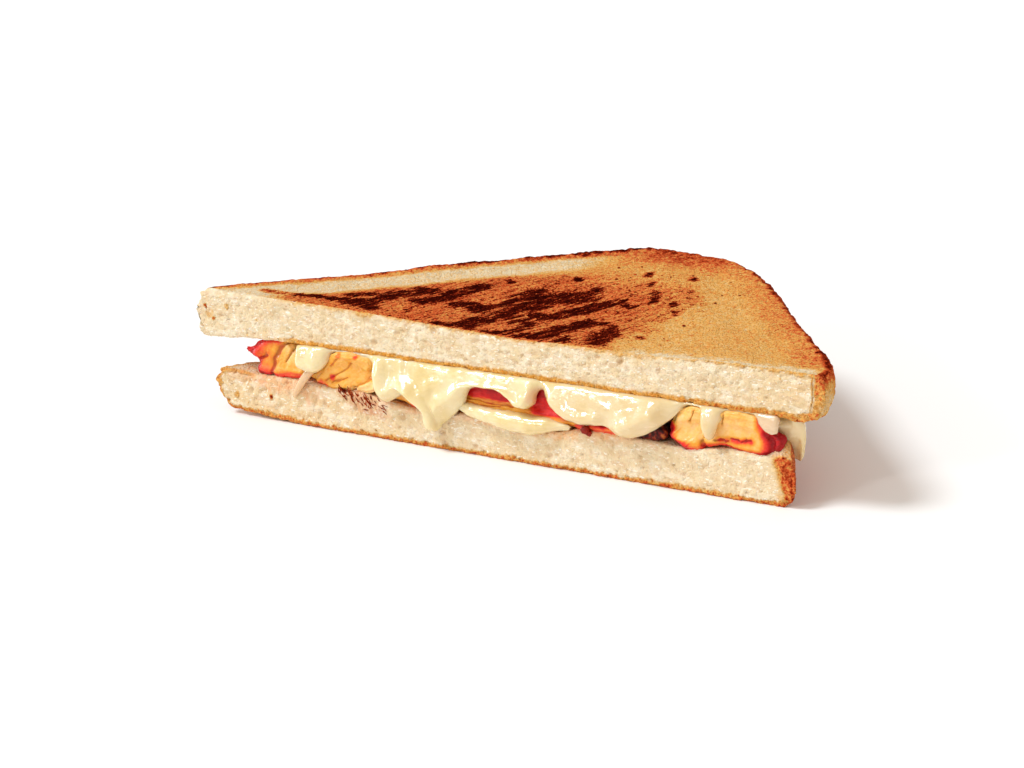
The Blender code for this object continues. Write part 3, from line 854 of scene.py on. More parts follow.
lower, points, _, cut, _ = dress_slice(
    "bread_lower", "lower_slice", LOWER_OUTLINE, lower_toasting, lower_cut_toasting, lower_wall_toasting,
    lift=swollen,
)
# Oil from the chicken stained it, and one spot left of the middle was scorched.
x, z = points[:, 0], points[:, 2]
from_top = top_of_lower(x) - z
blotchy = rough(points / 2.2, 3, 201)
left_stain = smooth((3.0 - from_top + 1.4 * blotchy) / 2.2) * rise(x, -77, 8) * fall(x, -44, 8)
left_stain = left_stain * (0.65 + 0.5 * blotchy)
front_stain = smooth((1.6 - from_top + 0.8 * blotchy) / 1.2) * fall(x, 44, 8) * rise(x, -46, 8) * 0.5
inner_stain = (1.0 - cut) * rise(z, 5.0, 2.0) * rise(x, -66, 8) * (0.6 + 0.5 * blotchy)
paint(lower, "stain", np.clip(left_stain + front_stain + 0.6 * inner_stain, 0, 1))
oily = smooth((2.6 - from_top + 1.2 * blotchy) / 2.4) * rise(x, 10, 5) * fall(x, 33, 5)
oily = oily * (0.5 + 0.5 * blotchy)
paint(lower, "golden", cut * np.clip(oily, 0, 1) * 0.55)
scorched = np.hypot((x + 36.5 + 2.0 * (z - 6.3)) / 1.4, (z - 6.3) * 1.9)
near_front = smooth((8.0 - points[:, 1] + CUT) / 4.0)
paint(lower, "burnt", fall(scorched, 5.4, 3.4) * near_front)
paint(lower, "char", np.zeros(len(points)))
place(lower, "bread_lower")

# %% [markdown]
# ## The finish of toasted bread
#
# One colour scale runs from crumb through gold, tan and orange-brown to charcoal. Fine grain shifts the
# toasting a little from crumb to crumb, which keeps each colour from lying flat, and threads that lean the
# way the ribs ran break the charred streaks up. Pores get painted shade, a little darker and warmer, because
# light comes out of them filtered by the bread.

# %% The finish of toasted bread
# From untouched crumb to charcoal, as (toasting, colour).
TOAST_SCALE = (
    (0.0, "#EAD8B8"), (0.09, "#E6CDA4"), (0.21, "#E6BB80"), (0.33, "#E4AC5E"), (0.43, "#DE9549"),
    (0.50, "#D9713C"), (0.57, "#CA5229"), (0.65, "#A03617"), (0.74, "#6C1A0B"), (0.85, "#420C05"),
    (1.0, "#200403"),
)

bread = Finish("toasted_bread", 0.6, Subsurface_Weight=0.15, Subsurface_Scale=0.001, Specular_IOR_Level=0.0)
bread.shader.inputs["Subsurface Radius"].default_value = (1.0, 0.65, 0.4)

# What was painted on the mesh, and grain that shifts it, less so where crumb shows.
toast, pore, crumb = bread.painted("toast"), bread.painted("pore"), bread.painted("crumb")
fine, sandy, tint = bread.grain(0.42, 3.0), bread.grain(1.0, 3.0), bread.grain(3.2, 2.0)
outside = 1.0 - crumb * 0.88
shift = (fine - 0.5) * 0.5 + (sandy - 0.5) * 0.42

# The charred streaks, broken up by threads: a halo round them, their core, and what is quite black.
threads = bread.grain(0.85, 3.0, (4.2, 1.0, 1.0), STREAK_LEAN)
zone = bread.painted("char")
charred = zone + (threads - 0.5) * 2.2 + (fine - 0.5) * 1.4
halo, core, black = charred.between(-0.1, 0.35), charred.between(0.4, 0.7), charred.between(0.65, 1.05)
pitted = zone.between(0.03, 0.14) + toast.between(0.3, 0.36) * outside * 0.3
pits = bread.grain(0.8, 2.0).between(0.59, 0.66) * pitted
ground = zone.between(0.02, 0.22)
heat = toast + shift * (outside - ground * 0.4) + ground * (halo * 0.05 + 0.09)
heat = heat + core * 0.21 + black * 0.16 + pits * 0.2
colour = bread.ramp(heat, *TOAST_SCALE)

# Crumb has warm, milky and rosy patches, painted shade in its pores and painted glints of highlight.
milky = bread.grain(2.6, 2.0, (1.3, 1.0, 0.8))
rosy = bread.grain(2.0, 2.0, (1.4, 1.0, 0.7))
colour = bread.mix(tint.between(0.47, 0.66) * crumb * 0.4, colour, "#E2C698")
colour = bread.mix(milky.between(0.5, 0.62) * crumb * 0.55, colour, "#F4E7CE")
colour = bread.mix(rosy.between(0.52, 0.64) * crumb * 0.4, colour, "#DDBB96")
# painted shade in the pores
colour = bread.mix(pore * 0.45, colour, "#D4AA7E")
# painted highlights: small white glints
glints = bread.grain(0.6, 2.0, (2.0, 1.0, 0.8)).between(0.61, 0.67)
colour = bread.mix(glints * crumb * 0.7, colour, "#FFF8EA")

# Golden lines, orange oil and scorched places.
gilded = bread.painted("golden") * (0.5 + sandy.between(0.35, 0.6) * 0.5)
colour = bread.mix(gilded, colour, "#F0A644")
stained = bread.painted("stain") * (0.35 + sandy.between(0.35, 0.7) * 0.5)
colour = bread.mix(stained, colour, "#F0A470")
colour = bread.mix(bread.painted("burnt") * 0.8 * sandy.between(0.3, 0.6), colour, "#CC8860")

height = (fine * 0.8 + bread.pores(0.5).between(0.1, 0.6) * 0.5 + sandy * 0.5) * (1.0 - crumb * 0.62)
gloss = 0.55 + sandy * 0.25 - crumb * 0.1
toasted_bread = bread.finish_with(height, 0.5, Base_Color=colour, Roughness=gloss)
for piece in (upper, lower):
    piece.data.materials.append(toasted_bread)

# %% [markdown]
# ## Chicken
#
# Each strip was rubbed with red spice and yoghurt before it was grilled. Where the knife went, the spice is
# strongest at the skin and fades inwards, through orange to pale golden meat. So, as bread has its toasting,
# each spot of meat has one number, its spice: it falls with the distance from the strip's own skin. Grain
# runs through the meat, and creases show where two lobes of a strip were folded together.


# %% Chicken
MEAT_VOXEL = 0.36


def skin_gap(piece):
    """How deep inside the strip each point lies, seen along the strip, in millimetres."""
    points, normals = points_of(piece), normals_of(piece)
    # skin near the cut, which faces sideways, up or down
    skin = points[(np.abs(normals[:, 1]) < 0.45) & (points[:, 1] < CUT + 4.0)]
    tree = KDTree(len(skin))
    for number, spot in enumerate(skin):
        tree.insert((spot[0], 0.0, spot[2]), number)
    tree.balance()
    gaps = np.array([tree.find((spot[0], 0.0, spot[2]))[2] for spot in points])
    return np.where(points[:, 1] < CUT + 3.0, gaps, 0.0)


def dress_strip(node, name, seed, lean, base, reach, skin, creases=(), redder=None, lines=(), depth=1.0):
    """A strip of chicken. Its grain leans so many degrees, base is the spice deep inside, and reach is how
    far in the skin's spice goes. skin says how much spice each side has, from shares of the strip's width and
    height, and redder adds spice in places. Creases are strokes across the cut end, given by such shares too,
    pressed in and darkened with painted shade as much as depth says. Lines are blobs that swell the form."""
    piece = fine_copy(node, name, MEAT_VOXEL, lines=lines)
    soften(piece, 2)
    points, normals = points_of(piece), normals_of(piece)
    gap = skin_gap(piece)
    low, high = (np.array(c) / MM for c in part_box(node))
    size = (high - low)[[0, 2]]
    flat = points[:, [0, 2]] - low[[0, 2]]
    across, upright = (flat / size).T
    turn = math.radians(lean)
    run = points[:, 0] * math.cos(turn) + points[:, 2] * math.sin(turn)
    height = points[:, 2] * math.cos(turn) - points[:, 0] * math.sin(turn)
    wavy = height + 0.6 * swells(points / 4.0, seed + 3)
    grain = rough(np.column_stack([run / 5.0, points[:, 1] / 4.0, wavy / 0.7]), 3, seed)
    lumps = rough(points / 2.8, 2, seed + 5)
    fold = np.zeros(len(points))
    if creases:
        strokes = [(width, *[np.array(spot) * size for spot in line]) for width, *line in creases]
        fold = 1.0 / (1.0 + (to_strokes(flat + 0.4 * np.column_stack([lumps, grain]), strokes) / 1.1) ** 3)
    front = rise(-normals[:, 1], 0.2, 0.5)
    round_off = 0.35 * fall(gap, 1.2, 1.2) ** 2 * front
    moved = points + normals * (0.13 * grain + 0.28 * lumps - 0.55 * depth * fold - round_off)[:, None]
    moved[:, 2] += 0.7 * rise(points[:, 2], 14.8, 2.0)  # the top meets the bread
    move_to(piece, moved)
    inwards = np.maximum(gap + 0.5 * lumps + 0.25 * grain, 0) / reach
    near_skin = np.exp(-(inwards**1.1)) * np.clip(skin(across, upright), 0, 1)
    # spice runs from base, deep inside, to 0.7 at the skin, and varies with the grain
    spice = base + (0.7 - base) * near_skin + (0.12 * grain + 0.05 * lumps) * (1.0 - 0.6 * near_skin)
    if redder is not None:
        spice = spice + redder(across, upright, lumps, grain)
    # a little more spice in the creases, and the creases' painted shade for the finish
    paint(piece, "spice", np.clip(spice + 0.16 * fold, 0, 1))
    paint(piece, "fold", depth * smooth(fold * 1.7 - 0.6))
    place(piece, node)
    return piece


# %% The two strips on the left
# Lines of blobs, each as (x, proud, z, radius) spots: the pointed corner, then the foot.
LEFT_BLOBS = (
    ((-65.0, -0.6, 14.9, 1.2), (-66.6, -0.5, 15.2, 0.8), (-67.6, -0.4, 15.5, 0.5)),
    ((-64.6, -0.9, 11.4, 1.1), (-59.0, -0.7, 11.3, 1.1), (-53.0, -0.8, 11.9, 1.2)),
)

# Creases, each as a half width in millimetres, then its spots as shares of the width and height.
LEFT_CREASES = (
    (0.5, (0.69, 1.02), (0.54, 0.8), (0.43, 0.55), (0.4, 0.25), (0.37, 0.05)),
    (0.3, (0.155, 0.45), (0.22, 0.52), (0.29, 0.6)),
    (0.2, (0.6, 0.5), (0.66, 0.66), (0.76, 0.78)),
)


def left_skin(across, upright):
    """Spice at the left, along the foot, and along the left half of the top."""
    top_left = fall(across, 0.62, 0.12) * rise(upright, 0.75, 0.1)
    return fall(across, 0.42, 0.12) + 0.75 * fall(upright, 0.3, 0.1) + top_left


def left_redder(across, upright, lumps, grain):
    """Redder at the left and along the foot, paler at the upper right."""
    outer = smooth((0.40 + 0.14 * lumps - across + 0.1 * upright) / 0.3)
    paler = 0.12 * rise(across, 0.5, 0.2) * rise(upright, 0.3, 0.2)
    return 0.2 * outer + 0.14 * fall(upright, 0.16, 0.12) - paler


GOLDEN_BLOBS = (
    ((-48.6, -1.0, 10.9, 0.8), (-45.0, -0.8, 10.3, 1.0), (-40.0, -0.8, 10.6, 1.1)),
    ((-50.6, -1.8, 11.6, 1.1), (-48.2, -1.5, 11.8, 1.3), (-46.4, -1.3, 13.6, 1.3),
     (-45.0, -1.0, 15.4, 1.3)),
    ((-44.6, -0.6, 15.4, 1.0), (-42.0, -0.2, 16.6, 1.2), (-38.5, 0.0, 17.0, 1.2),
     (-34.0, -0.2, 16.2, 1.3)),
    ((-37.6, -0.9, 10.6, 0.9), (-35.0, -0.7, 11.2, 1.4), (-32.4, -0.5, 12.2, 1.8)),
)

GOLDEN_CREASES = (
    (0.24, (0.62, 0.16), (0.8, 0.42), (0.97, 0.68)),
    (0.2, (0.2, 0.3), (0.45, 0.62), (0.62, 0.92)),
    (0.16, (0.3, 0.25), (0.55, 0.5)),
    (0.2, (0.3, 0.8), (0.42, 1.0)),
)
# Spots of spice, each as shares of the width and height, a size and a strength.
GOLDEN_SPOTS = (
    (0.3, 0.41, 0.045, 0.4), (0.13, 0.2, 0.04, 0.3), (0.19, 0.12, 0.05, 0.25), (0.46, 1.12, 0.04, 0.3),
    (0.73, 1.16, 0.03, 0.34), (0.08, 0.12, 0.05, 0.2),
)


def golden_skin(across, upright):
    """A little spice in the lower left corner and along the foot."""
    return 0.5 * fall(across, 0.3, 0.2) * fall(upright, 0.35, 0.2) + 0.25 * fall(upright, 0.08, 0.1)


def spotted(across, upright, lumps, grain):
    """Small spots of spice, and a paler wedge at the right."""
    spots = np.zeros(len(across))
    for u, v, size, strength in GOLDEN_SPOTS:
        away = np.hypot(across - u, (upright - v) * 0.4) / size
        spots = np.maximum(spots, strength * smooth(1.5 - away))
    wedge = smooth((across - 0.6 - 0.9 * (upright - 0.2)) / 0.08) * fall(upright, 0.75, 0.1)
    return spots - 0.2 * wedge


# %% The middle strips
MIDDLE_BLOBS = (
    ((-17.5, -1.0, 11.4, 1.2), (-8.0, -0.9, 11.3, 1.5), (4.0, -0.8, 11.0, 1.7), (12.0, -0.8, 10.8, 1.7),
     (18.6, -1.0, 10.8, 1.3)),
    ((7.0, -1.6, 16.6, 1.4), (11.0, -1.3, 16.9, 1.4), (16.0, -1.2, 16.4, 1.3)),
)

MIDDLE_CREASES = (
    (0.12, (0.2, 0.16), (0.3, 0.24), (0.42, 0.2), (0.52, 0.26)),
    (0.1, (0.24, 0.36), (0.4, 0.34), (0.6, 0.3)),
    (0.1, (0.5, 0.08), (0.7, 0.12)),
)


def middle_skin(across, upright):
    """Spice along the top, and some at the right end."""
    return rise(upright, 0.45, 0.2) + 0.4 * rise(across, 0.62, 0.1)


def top_redder(across, upright, lumps, grain):
    """Redder above and at the right end, so that only the lower left stays golden."""
    upper_part = smooth((upright - 0.36 + 0.1 * lumps + 0.05 * grain) / 0.16)
    right_end = smooth((across - 0.66 - 0.1 * (0.6 - upright)) / 0.06) * rise(upright, 0.15, 0.1)
    red = (0.52 + 0.14 * rise(upright, 0.5, 0.4)) * np.maximum(upper_part, 0.95 * right_end)
    return red + 0.08 * right_end * lumps


RED_BLOBS = (
    ((18.8, -0.9, 10.4, 1.2), (25.0, -0.7, 10.3, 1.3), (32.0, -0.9, 10.4, 1.2)),
)


def red_skin(across, upright):
    """Much spice on every side."""
    return 0.8


def all_redder(across, upright, lumps, grain):
    """Redder all over, apart from the foot."""
    above_foot = smooth((upright - 0.12 + 0.12 * lumps) / 0.16)
    return (0.5 + 0.14 * rise(upright, 0.5, 0.4)) * above_foot + 0.1 * lumps


def faint_skin(across, upright):
    """A little spice on every side."""
    return 0.35


def low_right(across, upright, lumps, grain):
    """Redder at the lower right."""
    return 0.3 * smooth((across - 0.72 + 0.3 * (0.4 - upright)) / 0.15) * fall(upright, 0.5, 0.3)


# %% The thick strip on the right
RIGHT_BLOBS = (
    ((43.6, -0.9, 15.2, 1.3), (46.6, -0.6, 16.2, 1.4), (49.0, -0.6, 16.4, 1.3)),
    ((52.5, -0.6, 16.4, 1.3), (57.0, -0.4, 16.6, 1.4), (61.0, -0.6, 16.2, 1.4), (62.8, -0.9, 14.6, 1.4)),
    ((42.4, -0.8, 11.6, 1.5), (45.0, -0.6, 10.2, 1.5), (47.6, -0.7, 10.0, 1.3)),
    ((65.0, -1.4, 14.2, 1.0), (65.9, -1.5, 13.6, 1.2), (65.2, -1.4, 11.6, 0.9)),
)

RIGHT_CREASES = (
    (0.24, (0.44, 0.34), (0.5, 0.4), (0.56, 0.38)),
    (0.2, (0.6, 0.46), (0.68, 0.44)),
    (0.24, (0.7, 0.42), (0.75, 0.5), (0.8, 0.5)),
    (0.34, (0.33, 0.28), (0.35, 0.14), (0.37, 0.0)),
    (0.22, (0.34, 0.56), (0.36, 0.46), (0.345, 0.38)),
    (0.12, (0.22, 0.8), (0.28, 1.1)),
    (0.12, (0.52, 0.85), (0.56, 1.1)),
)


def right_skin(across, upright):
    """Spice along the foot and at both ends."""
    left_end = fall(across, 0.13, 0.08) * fall(upright, 0.8, 0.2)
    ends = np.maximum(left_end, rise(across, 0.82, 0.08))
    return np.maximum(fall(upright, 0.34, 0.14), ends)


def right_redder(across, upright, lumps, grain):
    """Redder at both ends, at the left of the foot and along the crease right of the middle."""
    left_end = fall(across, 0.13 + 0.06 * grain, 0.07) * fall(upright, 0.7, 0.2)
    left_foot = fall(across, 0.26 + 0.08 * grain, 0.1) * fall(upright, 0.3, 0.14)
    right_end = smooth((across - 0.86 - 0.03 * grain) / 0.07) * fall(upright, 0.95, 0.2)
    crease = hump(upright, 0.42 + 0.25 * (across - 0.62), 0.11)
    crease = crease * rise(across, 0.44, 0.06) * fall(across, 0.86, 0.08) * (0.85 + 0.4 * lumps)
    top_glow = rise(upright, 0.75, 0.3) * (0.5 + 0.5 * lumps)
    red = 0.46 * left_end + 0.46 * left_foot + 0.38 * right_end + 0.62 * crease
    return red + 0.1 * top_glow + 0.15 * rise(across, 0.985, 0.02)


# %% All six strips
chicken = [
    dress_strip(
        "chicken_1", "chicken_left", 301, lean=60, base=0.25, reach=0.9, skin=left_skin,
        creases=LEFT_CREASES, redder=left_redder, lines=LEFT_BLOBS, depth=0.8,
    ),
    dress_strip(
        "chicken_2", "chicken_golden", 311, lean=34, base=0.21, reach=0.6, skin=golden_skin,
        creases=GOLDEN_CREASES, redder=spotted, lines=GOLDEN_BLOBS, depth=0.5,
    ),
    dress_strip(
        "chicken_3", "chicken_under_drip", 321, lean=20, base=0.2, reach=0.4, skin=faint_skin,
        redder=low_right,
    ),
    dress_strip(
        "chicken_4", "chicken_middle", 331, lean=3, base=0.3, reach=0.5, skin=middle_skin,
        creases=MIDDLE_CREASES, redder=top_redder, lines=MIDDLE_BLOBS, depth=0.5,
    ),
    dress_strip(
        "chicken_5", "chicken_red", 341, lean=8, base=0.36, reach=1.2, skin=red_skin,
        redder=all_redder, lines=RED_BLOBS,
    ),
    dress_strip(
        "chicken_6", "chicken_right", 351, lean=55, base=0.1, reach=1.2, skin=right_skin,
        creases=RIGHT_CREASES, redder=right_redder, lines=RIGHT_BLOBS, depth=0.75,
    ),
]

# %% The finish of chicken
# From plain meat to the thickest spice, as (spice, colour).
SPICE_SCALE = (
    (0.0, "#FBCC8C"), (0.14, "#F7BE68"), (0.3, "#ECA238"), (0.45, "#EC8232"), (0.57, "#EC5630"),
    (0.7, "#EA342A"), (0.84, "#CE1E20"), (1.0, "#A01418"),
)

tikka = Finish(
    "tikka_chicken", 0.4, Subsurface_Weight=0.3, Subsurface_Scale=0.0014, Coat_Weight=0.08,
    Coat_Roughness=0.1, Specular_IOR_Level=0.16,
)
tikka.shader.inputs["Subsurface Radius"].default_value = (1.0, 0.45, 0.2)
threads, patchy = tikka.grain(0.45, 3.0, (1.8, 1.0, 1.0)), tikka.grain(1.6, 3.0)
spice = tikka.painted("spice") + (threads - 0.5) * 0.22 + (patchy - 0.5) * 0.2
colour = tikka.ramp(spice, *SPICE_SCALE)
# the fold paint: painted shade in the creases of the strips, and the glaze drop's own dark red
colour = tikka.mix(tikka.painted("fold") * 0.7, colour, "#84290F")
tikka_chicken = tikka.finish_with(threads, 0.14, Base_Color=colour, Roughness=0.24 + patchy * 0.22)
for piece in chicken:
    piece.data.materials.append(tikka_chicken)

# %% The charred piece
burnt_end = fine_copy("charred_piece", "charred_end", voxel=0.35)
points, normals = points_of(burnt_end), normals_of(burnt_end)
ragged = rough(points / 1.2, 3, 401)
move_to(burnt_end, points + normals * (0.4 * ragged)[:, None])
place(burnt_end, "charred_piece")
char = Finish("charred_chicken", 0.4, Coat_Weight=0.06, Coat_Roughness=0.15, Specular_IOR_Level=0.15)
scorched = char.grain(1.1, 3.0)
colour = char.ramp(scorched, (0.34, "#1E0402"), (0.5, "#45100A"), (0.6, "#7E1C12"), (0.72, "#B8602A"))
burnt_end.data.materials.append(char.finish_with(char.grain(0.4, 3.0), 0.25, Base_Color=colour))

# %% [markdown]
# ## Cheese
#
# Melted cheese is thick and slow. It clings under the upper slice, bulges over the cut and sags into drips
# with round edges. The solid gives the sheet and the length of each drip; beads along the rim of each drip
# are joined to it, and the Remesh modifier fuses everything into one skin, which is then softened until it
# flows.


# %% Where the drips go
# Lines of blobs along the rims of the drips, each as (x, proud, z, radius) spots.
DRIP_BLOBS = (
    ((-30.0, 0.8, 16.6, 1.6), (-30.0, 1.1, 12.6, 1.8), (-28.5, 1.2, 10.6, 1.7), (-25.8, 1.2, 12.2, 1.5),
     (-23.8, 1.2, 12.6, 1.5), (-21.6, 1.3, 11.0, 1.7), (-20.6, 1.3, 8.2, 1.7)),
    ((-29.6, 1.1, 13.4, 1.7), (-25.6, 1.2, 13.6, 1.7), (-22.0, 1.2, 13.2, 1.8)),
    ((-20.6, 1.3, 8.2, 1.7), (-19.4, 1.3, 5.9, 1.9), (-16.4, 1.3, 8.0, 1.7), (-13.2, 1.2, 11.2, 1.7),
     (-9.5, 1.2, 14.4, 1.6), (-5.0, 1.1, 15.8, 1.5), (0.5, 1.1, 15.9, 1.5), (4.4, 1.2, 14.8, 1.7),
     (7.0, 1.2, 14.1, 1.9), (8.6, 1.0, 14.8, 1.6), (8.4, 0.8, 16.6, 1.5)),
    ((-24.0, 1.6, 14.5, 2.0), (-19.0, 1.7, 10.5, 2.1), (-17.0, 1.4, 14.5, 2.0), (-10.0, 1.1, 16.4, 1.6)),
    ((12.4, 0.6, 16.6, 1.2), (14.5, 1.0, 14.8, 1.6), (17.5, 1.2, 13.3, 1.8), (21.0, 1.2, 12.8, 1.8),
     (26.5, 1.2, 13.6, 1.8), (30.6, 1.4, 11.6, 1.9), (34.0, 1.2, 12.9, 1.8), (39.5, 1.0, 15.6, 1.5)),
    ((18.0, 1.2, 15.6, 1.8), (26.0, 1.3, 15.8, 1.8), (31.0, 1.5, 14.0, 2.0), (35.0, 1.1, 15.8, 1.6)),
    ((-51.6, 0.6, 16.8, 1.5), (-51.4, 0.9, 14.9, 1.7), (-47.5, 0.9, 14.8, 1.7), (-46.0, 0.5, 16.2, 1.5)),
    ((-50.0, 0.9, 14.4, 1.6), (-48.4, 0.9, 14.1, 1.5)),
    ((50.6, 0.8, 16.4, 1.7), (50.9, 1.0, 14.6, 1.7), (51.0, 1.0, 13.3, 1.5)),
)

PUDDLE_BLOBS = (
    ((-10.6, 0.1, 10.6, 0.9), (-6.5, 0.7, 10.2, 1.6), (-1.0, 0.9, 9.6, 2.0), (4.5, 1.0, 9.2, 2.3),
     (8.5, 0.9, 9.1, 2.2), (12.5, 0.6, 9.6, 1.7), (17.0, 0.2, 10.0, 1.0)),
)

FLAP_BLOBS = (
    ((64.5, -3.2, 16.4, 1.5), (68.6, -4.0, 16.1, 1.4)),
    ((65.0, -3.8, 14.6, 1.6), (68.3, -4.4, 14.3, 1.4)),
    ((65.0, -4.6, 12.8, 1.6), (67.8, -4.8, 12.4, 1.3)),
    ((65.5, -4.8, 11.0, 1.5), (67.2, -5.0, 10.8, 1.1), (66.8, -5.0, 9.4, 0.9)),
)


# %% The cheese over the cut
CHEESE_REACH = 4.6  # how far the cheese may stand out from the cut
# Half width of each swelling, how far it stands out, then its line as (x, z).
SWELLINGS = (
    (2.1, 1.4, (-30.4, 15.0), (-30.0, 12.4), (-28.2, 11.4), (-25.4, 12.0), (-22.2, 12.4)),
    (2.0, 1.3, (-21.4, 11.6), (-19.6, 8.6), (-18.6, 6.4)),
    (1.8, 1.4, (-15.4, 9.8), (-12.8, 12.0), (-8.6, 14.6)),
    (1.25, 1.1, (-8.4, 15.2), (-2.0, 15.2), (2.6, 15.0), (6.0, 13.8)),
    (1.7, 0.9, (8.4, 15.4), (7.4, 13.6)),
    (1.8, 1.3, (14.4, 16.2), (17.4, 13.8), (21.0, 12.9), (25.0, 13.1)),
    (1.9, 1.7, (31.6, 12.0), (34.6, 13.8), (38.2, 15.8)),
    (2.0, 0.7, (49.6, 15.6), (51.0, 14.0), (52.2, 15.6)),
    (2.4, 0.9, (-51.6, 16.4), (-51.0, 14.6)),
    (2.2, 0.8, (-48.2, 15.6), (-47.4, 14.8)),
)


def lift_arch(piece, middle, reach, ceiling, height):
    """Raises the lower edge over a short stretch, as where two drips part."""
    points = points_of(piece)
    points[:, 2] += height * hump(points[:, 0], middle, reach) * fall(points[:, 2], ceiling, 2.4)
    move_to(piece, points)


def swell_over_cut(points, folds, ripples, hanging):
    """Makes the melt stand out from the cut along the swellings, and thins it between the small drips."""
    flat = points[:, [0, 2]] + 0.5 * np.column_stack([folds, ripples])
    stand = np.full(len(points), -0.35)
    for width, height, *line in SWELLINGS:
        gap = to_strokes(flat, [(width, *line)])
        stand = np.maximum(stand, height * np.exp(-(gap**2)) - 0.35)
    # a hollow at the root of the longest drip
    across, upright = (flat[:, 0] + 25.5) / 5.0, (flat[:, 1] - 16.4) / 2.0
    stand = stand - 0.7 * np.exp(-(across**4) - upright**2)
    points[:, 1] -= stand * hanging
    x, z = points[:, 0], points[:, 2]
    # thin stretches: left of the longest drip, then to the right and left of the small drip at the right
    rim = np.interp(x, (-46.0, -41.0, -36.0, -31.0), (17.6, 17.5, 16.8, 14.8))
    thin = rise(x, -45.0, 2.0) * fall(x, -30.5, 3.5) * fall(z, rim, 0.9)
    thin = thin + rise(x, 53.0, 1.5) * fall(x, 61.6, 1.5) * fall(z, 17.7, 0.8)
    thin = thin + rise(x, 43.5, 2.0) * fall(x, 49.2, 1.2) * fall(z, 17.6, 0.8)
    points[:, 1] += 3.2 * thin * fall(points[:, 1], -26.0, 3.0)


def part_drips(points):
    """Arches the rim between the drips and pulls the left side of the longest drip in."""
    x, z = points[:, 0], points[:, 2]  # both follow the points as they move
    risen = np.interp(x, (-10.5, -7.0, -3.0, 1.0, 3.4, 5.2), (0.0, 1.1, 1.4, 1.5, 0.9, 0.0))
    points[:, 2] += risen * fall(z, 16.4, 1.4) * (z > 12.4)
    pulled = rise(x, -27.5, 3.0) * fall(x, -14.0, 5.0) * fall(z, 12.5, 4.0)
    arch = hump(x, -24.9, 2.1) * fall(z, 13.6, 3.0)
    points[:, 0] += pulled * (2.4 + 2.0 * hump(z, 9.2, 1.8) * fall(x, -20.0, 2.0))
    points[:, 2] += 3.0 * arch


def dress_cheese(node, name, voxel, passes, lines):
    """Melted cheese: blobs fused to the solid, softened so many passes, and folded. The melt over the cut
    swells into drips."""
    piece = fine_copy(node, name, voxel, cut_splits=0, lines=lines)
    soften(piece, passes)
    points, normals = points_of(piece), normals_of(piece)
    over_cut = node == "cheese_melt"
    # 1 where the cheese hangs over the cut, 0 under the bread
    hanging = fall(points[:, 1], CUT + 1.5, 2.0)
    folds = rough(points * np.array([0.30, 0.2, 0.2]), 2, 501)
    ripples = rough(points * np.array([0.62, 0.5, 0.5]), 2, 511)
    calm = 1.0 - 0.65 * rise(points[:, 0], 10.0, 6.0)  # the right side has flatter folds
    points = points + normals * (hanging * calm * (0.3 * folds + 0.14 * ripples))[:, None]
    if over_cut:
        swell_over_cut(points, folds, ripples, hanging)
    points[:, 2] += 0.8 * rise(points[:, 2], 15.8, 2.0) * hanging
    if over_cut:
        part_drips(points)
    points[:, 1] = np.maximum(points[:, 1], CUT - CHEESE_REACH)
    move_to(piece, points)
    soften(piece, 3)
    if over_cut:
        lift_arch(piece, -23.6, 1.3, 11.6, 1.9)
    # painted shade where the cheese is darker: towards the right, over the thin stretch at the left and on
    # the blob at the far right; and where spice from the chicken made it rosy
    x, z = points[:, 0], points[:, 2]
    shaded = 0.35 * rise(x, 10.0, 8.0) + 0.5 * rise(x, -46.0, 2.0) * fall(x, -33.0, 2.5)
    shaded = shaded + rise(x, 60.5, 1.5) * over_cut
    rosy = 0.9 * smooth(1.6 - np.hypot(x - 10.2, z - 15.6) / 1.7)
    rosy = rosy + 0.4 * smooth(1.5 - np.abs(x - 51.0) / 2.2) * fall(z, 14.5, 4.0)
    paint(piece, "shaded", np.clip(shaded, 0, 1))
    paint(piece, "rosy", np.clip(rosy, 0, 1))
    place(piece, node)
    return piece


def taper_right(piece):
    """Thins the puddle out where it soaks into the bread."""
    points = points_of(piece)
    share = 1.0 - 0.5 * rise(points[:, 0], 10.0, 8.0)
    for axis, kept in ((1, CUT - 1.0), (2, 9.9)):
        points[:, axis] = toward(kept, points[:, axis], share)
    move_to(piece, points)


cheeses = [
    dress_cheese("cheese_melt", "melted_cheese_front", voxel=0.42, passes=16, lines=DRIP_BLOBS),
    dress_cheese("cheese_puddle", "melted_cheese_puddle", voxel=0.35, passes=12, lines=PUDDLE_BLOBS),
    dress_cheese("cheese_right", "melted_cheese_flap", voxel=0.35, passes=6, lines=FLAP_BLOBS),
]
taper_right(cheeses[1])

# %% The finish of melted cheese
melted = Finish(
    "melted_cheese", 0.25, Subsurface_Weight=0.4, Subsurface_Scale=0.0025, Coat_Weight=0.9,
    Coat_Roughness=0.05,
)
melted.shader.inputs["Subsurface Radius"].default_value = (1.0, 0.85, 0.5)
cloudy, ripples = melted.grain(6.0, 2.0), melted.grain(1.8, 3.0, (1.6, 1.0, 1.0))
colour = melted.mix(cloudy.between(0.35, 0.7), "#EDDAAA", "#E3CA8C")
# painted shade, darker where the cheese lies in shadow
colour = melted.mix(melted.painted("shaded") * 0.75, colour, "#D8B494")
colour = melted.mix(melted.painted("rosy") * 0.6, colour, "#DC9C78")
gloss = 0.16 + ripples.between(0.4, 0.8) * 0.22
melted_cheese = melted.finish_with(ripples, 0.26, Base_Color=colour, Roughness=gloss)
for piece in cheeses:
    piece.data.materials.append(melted_cheese)

# %% [markdown]
# ## Strands, fibres and crumbs
#
# A melt that was just cut is never tidy. A thread of cheese hangs from the left, burnt meat fibres lie on the
# lower slice, a drop of red glaze sits under the cheese and toasted crumbs cling to the top. Each is a small
# mesh at its true size: a tube swept along a bent line for whatever is long, and a lumpy ball for the rest.


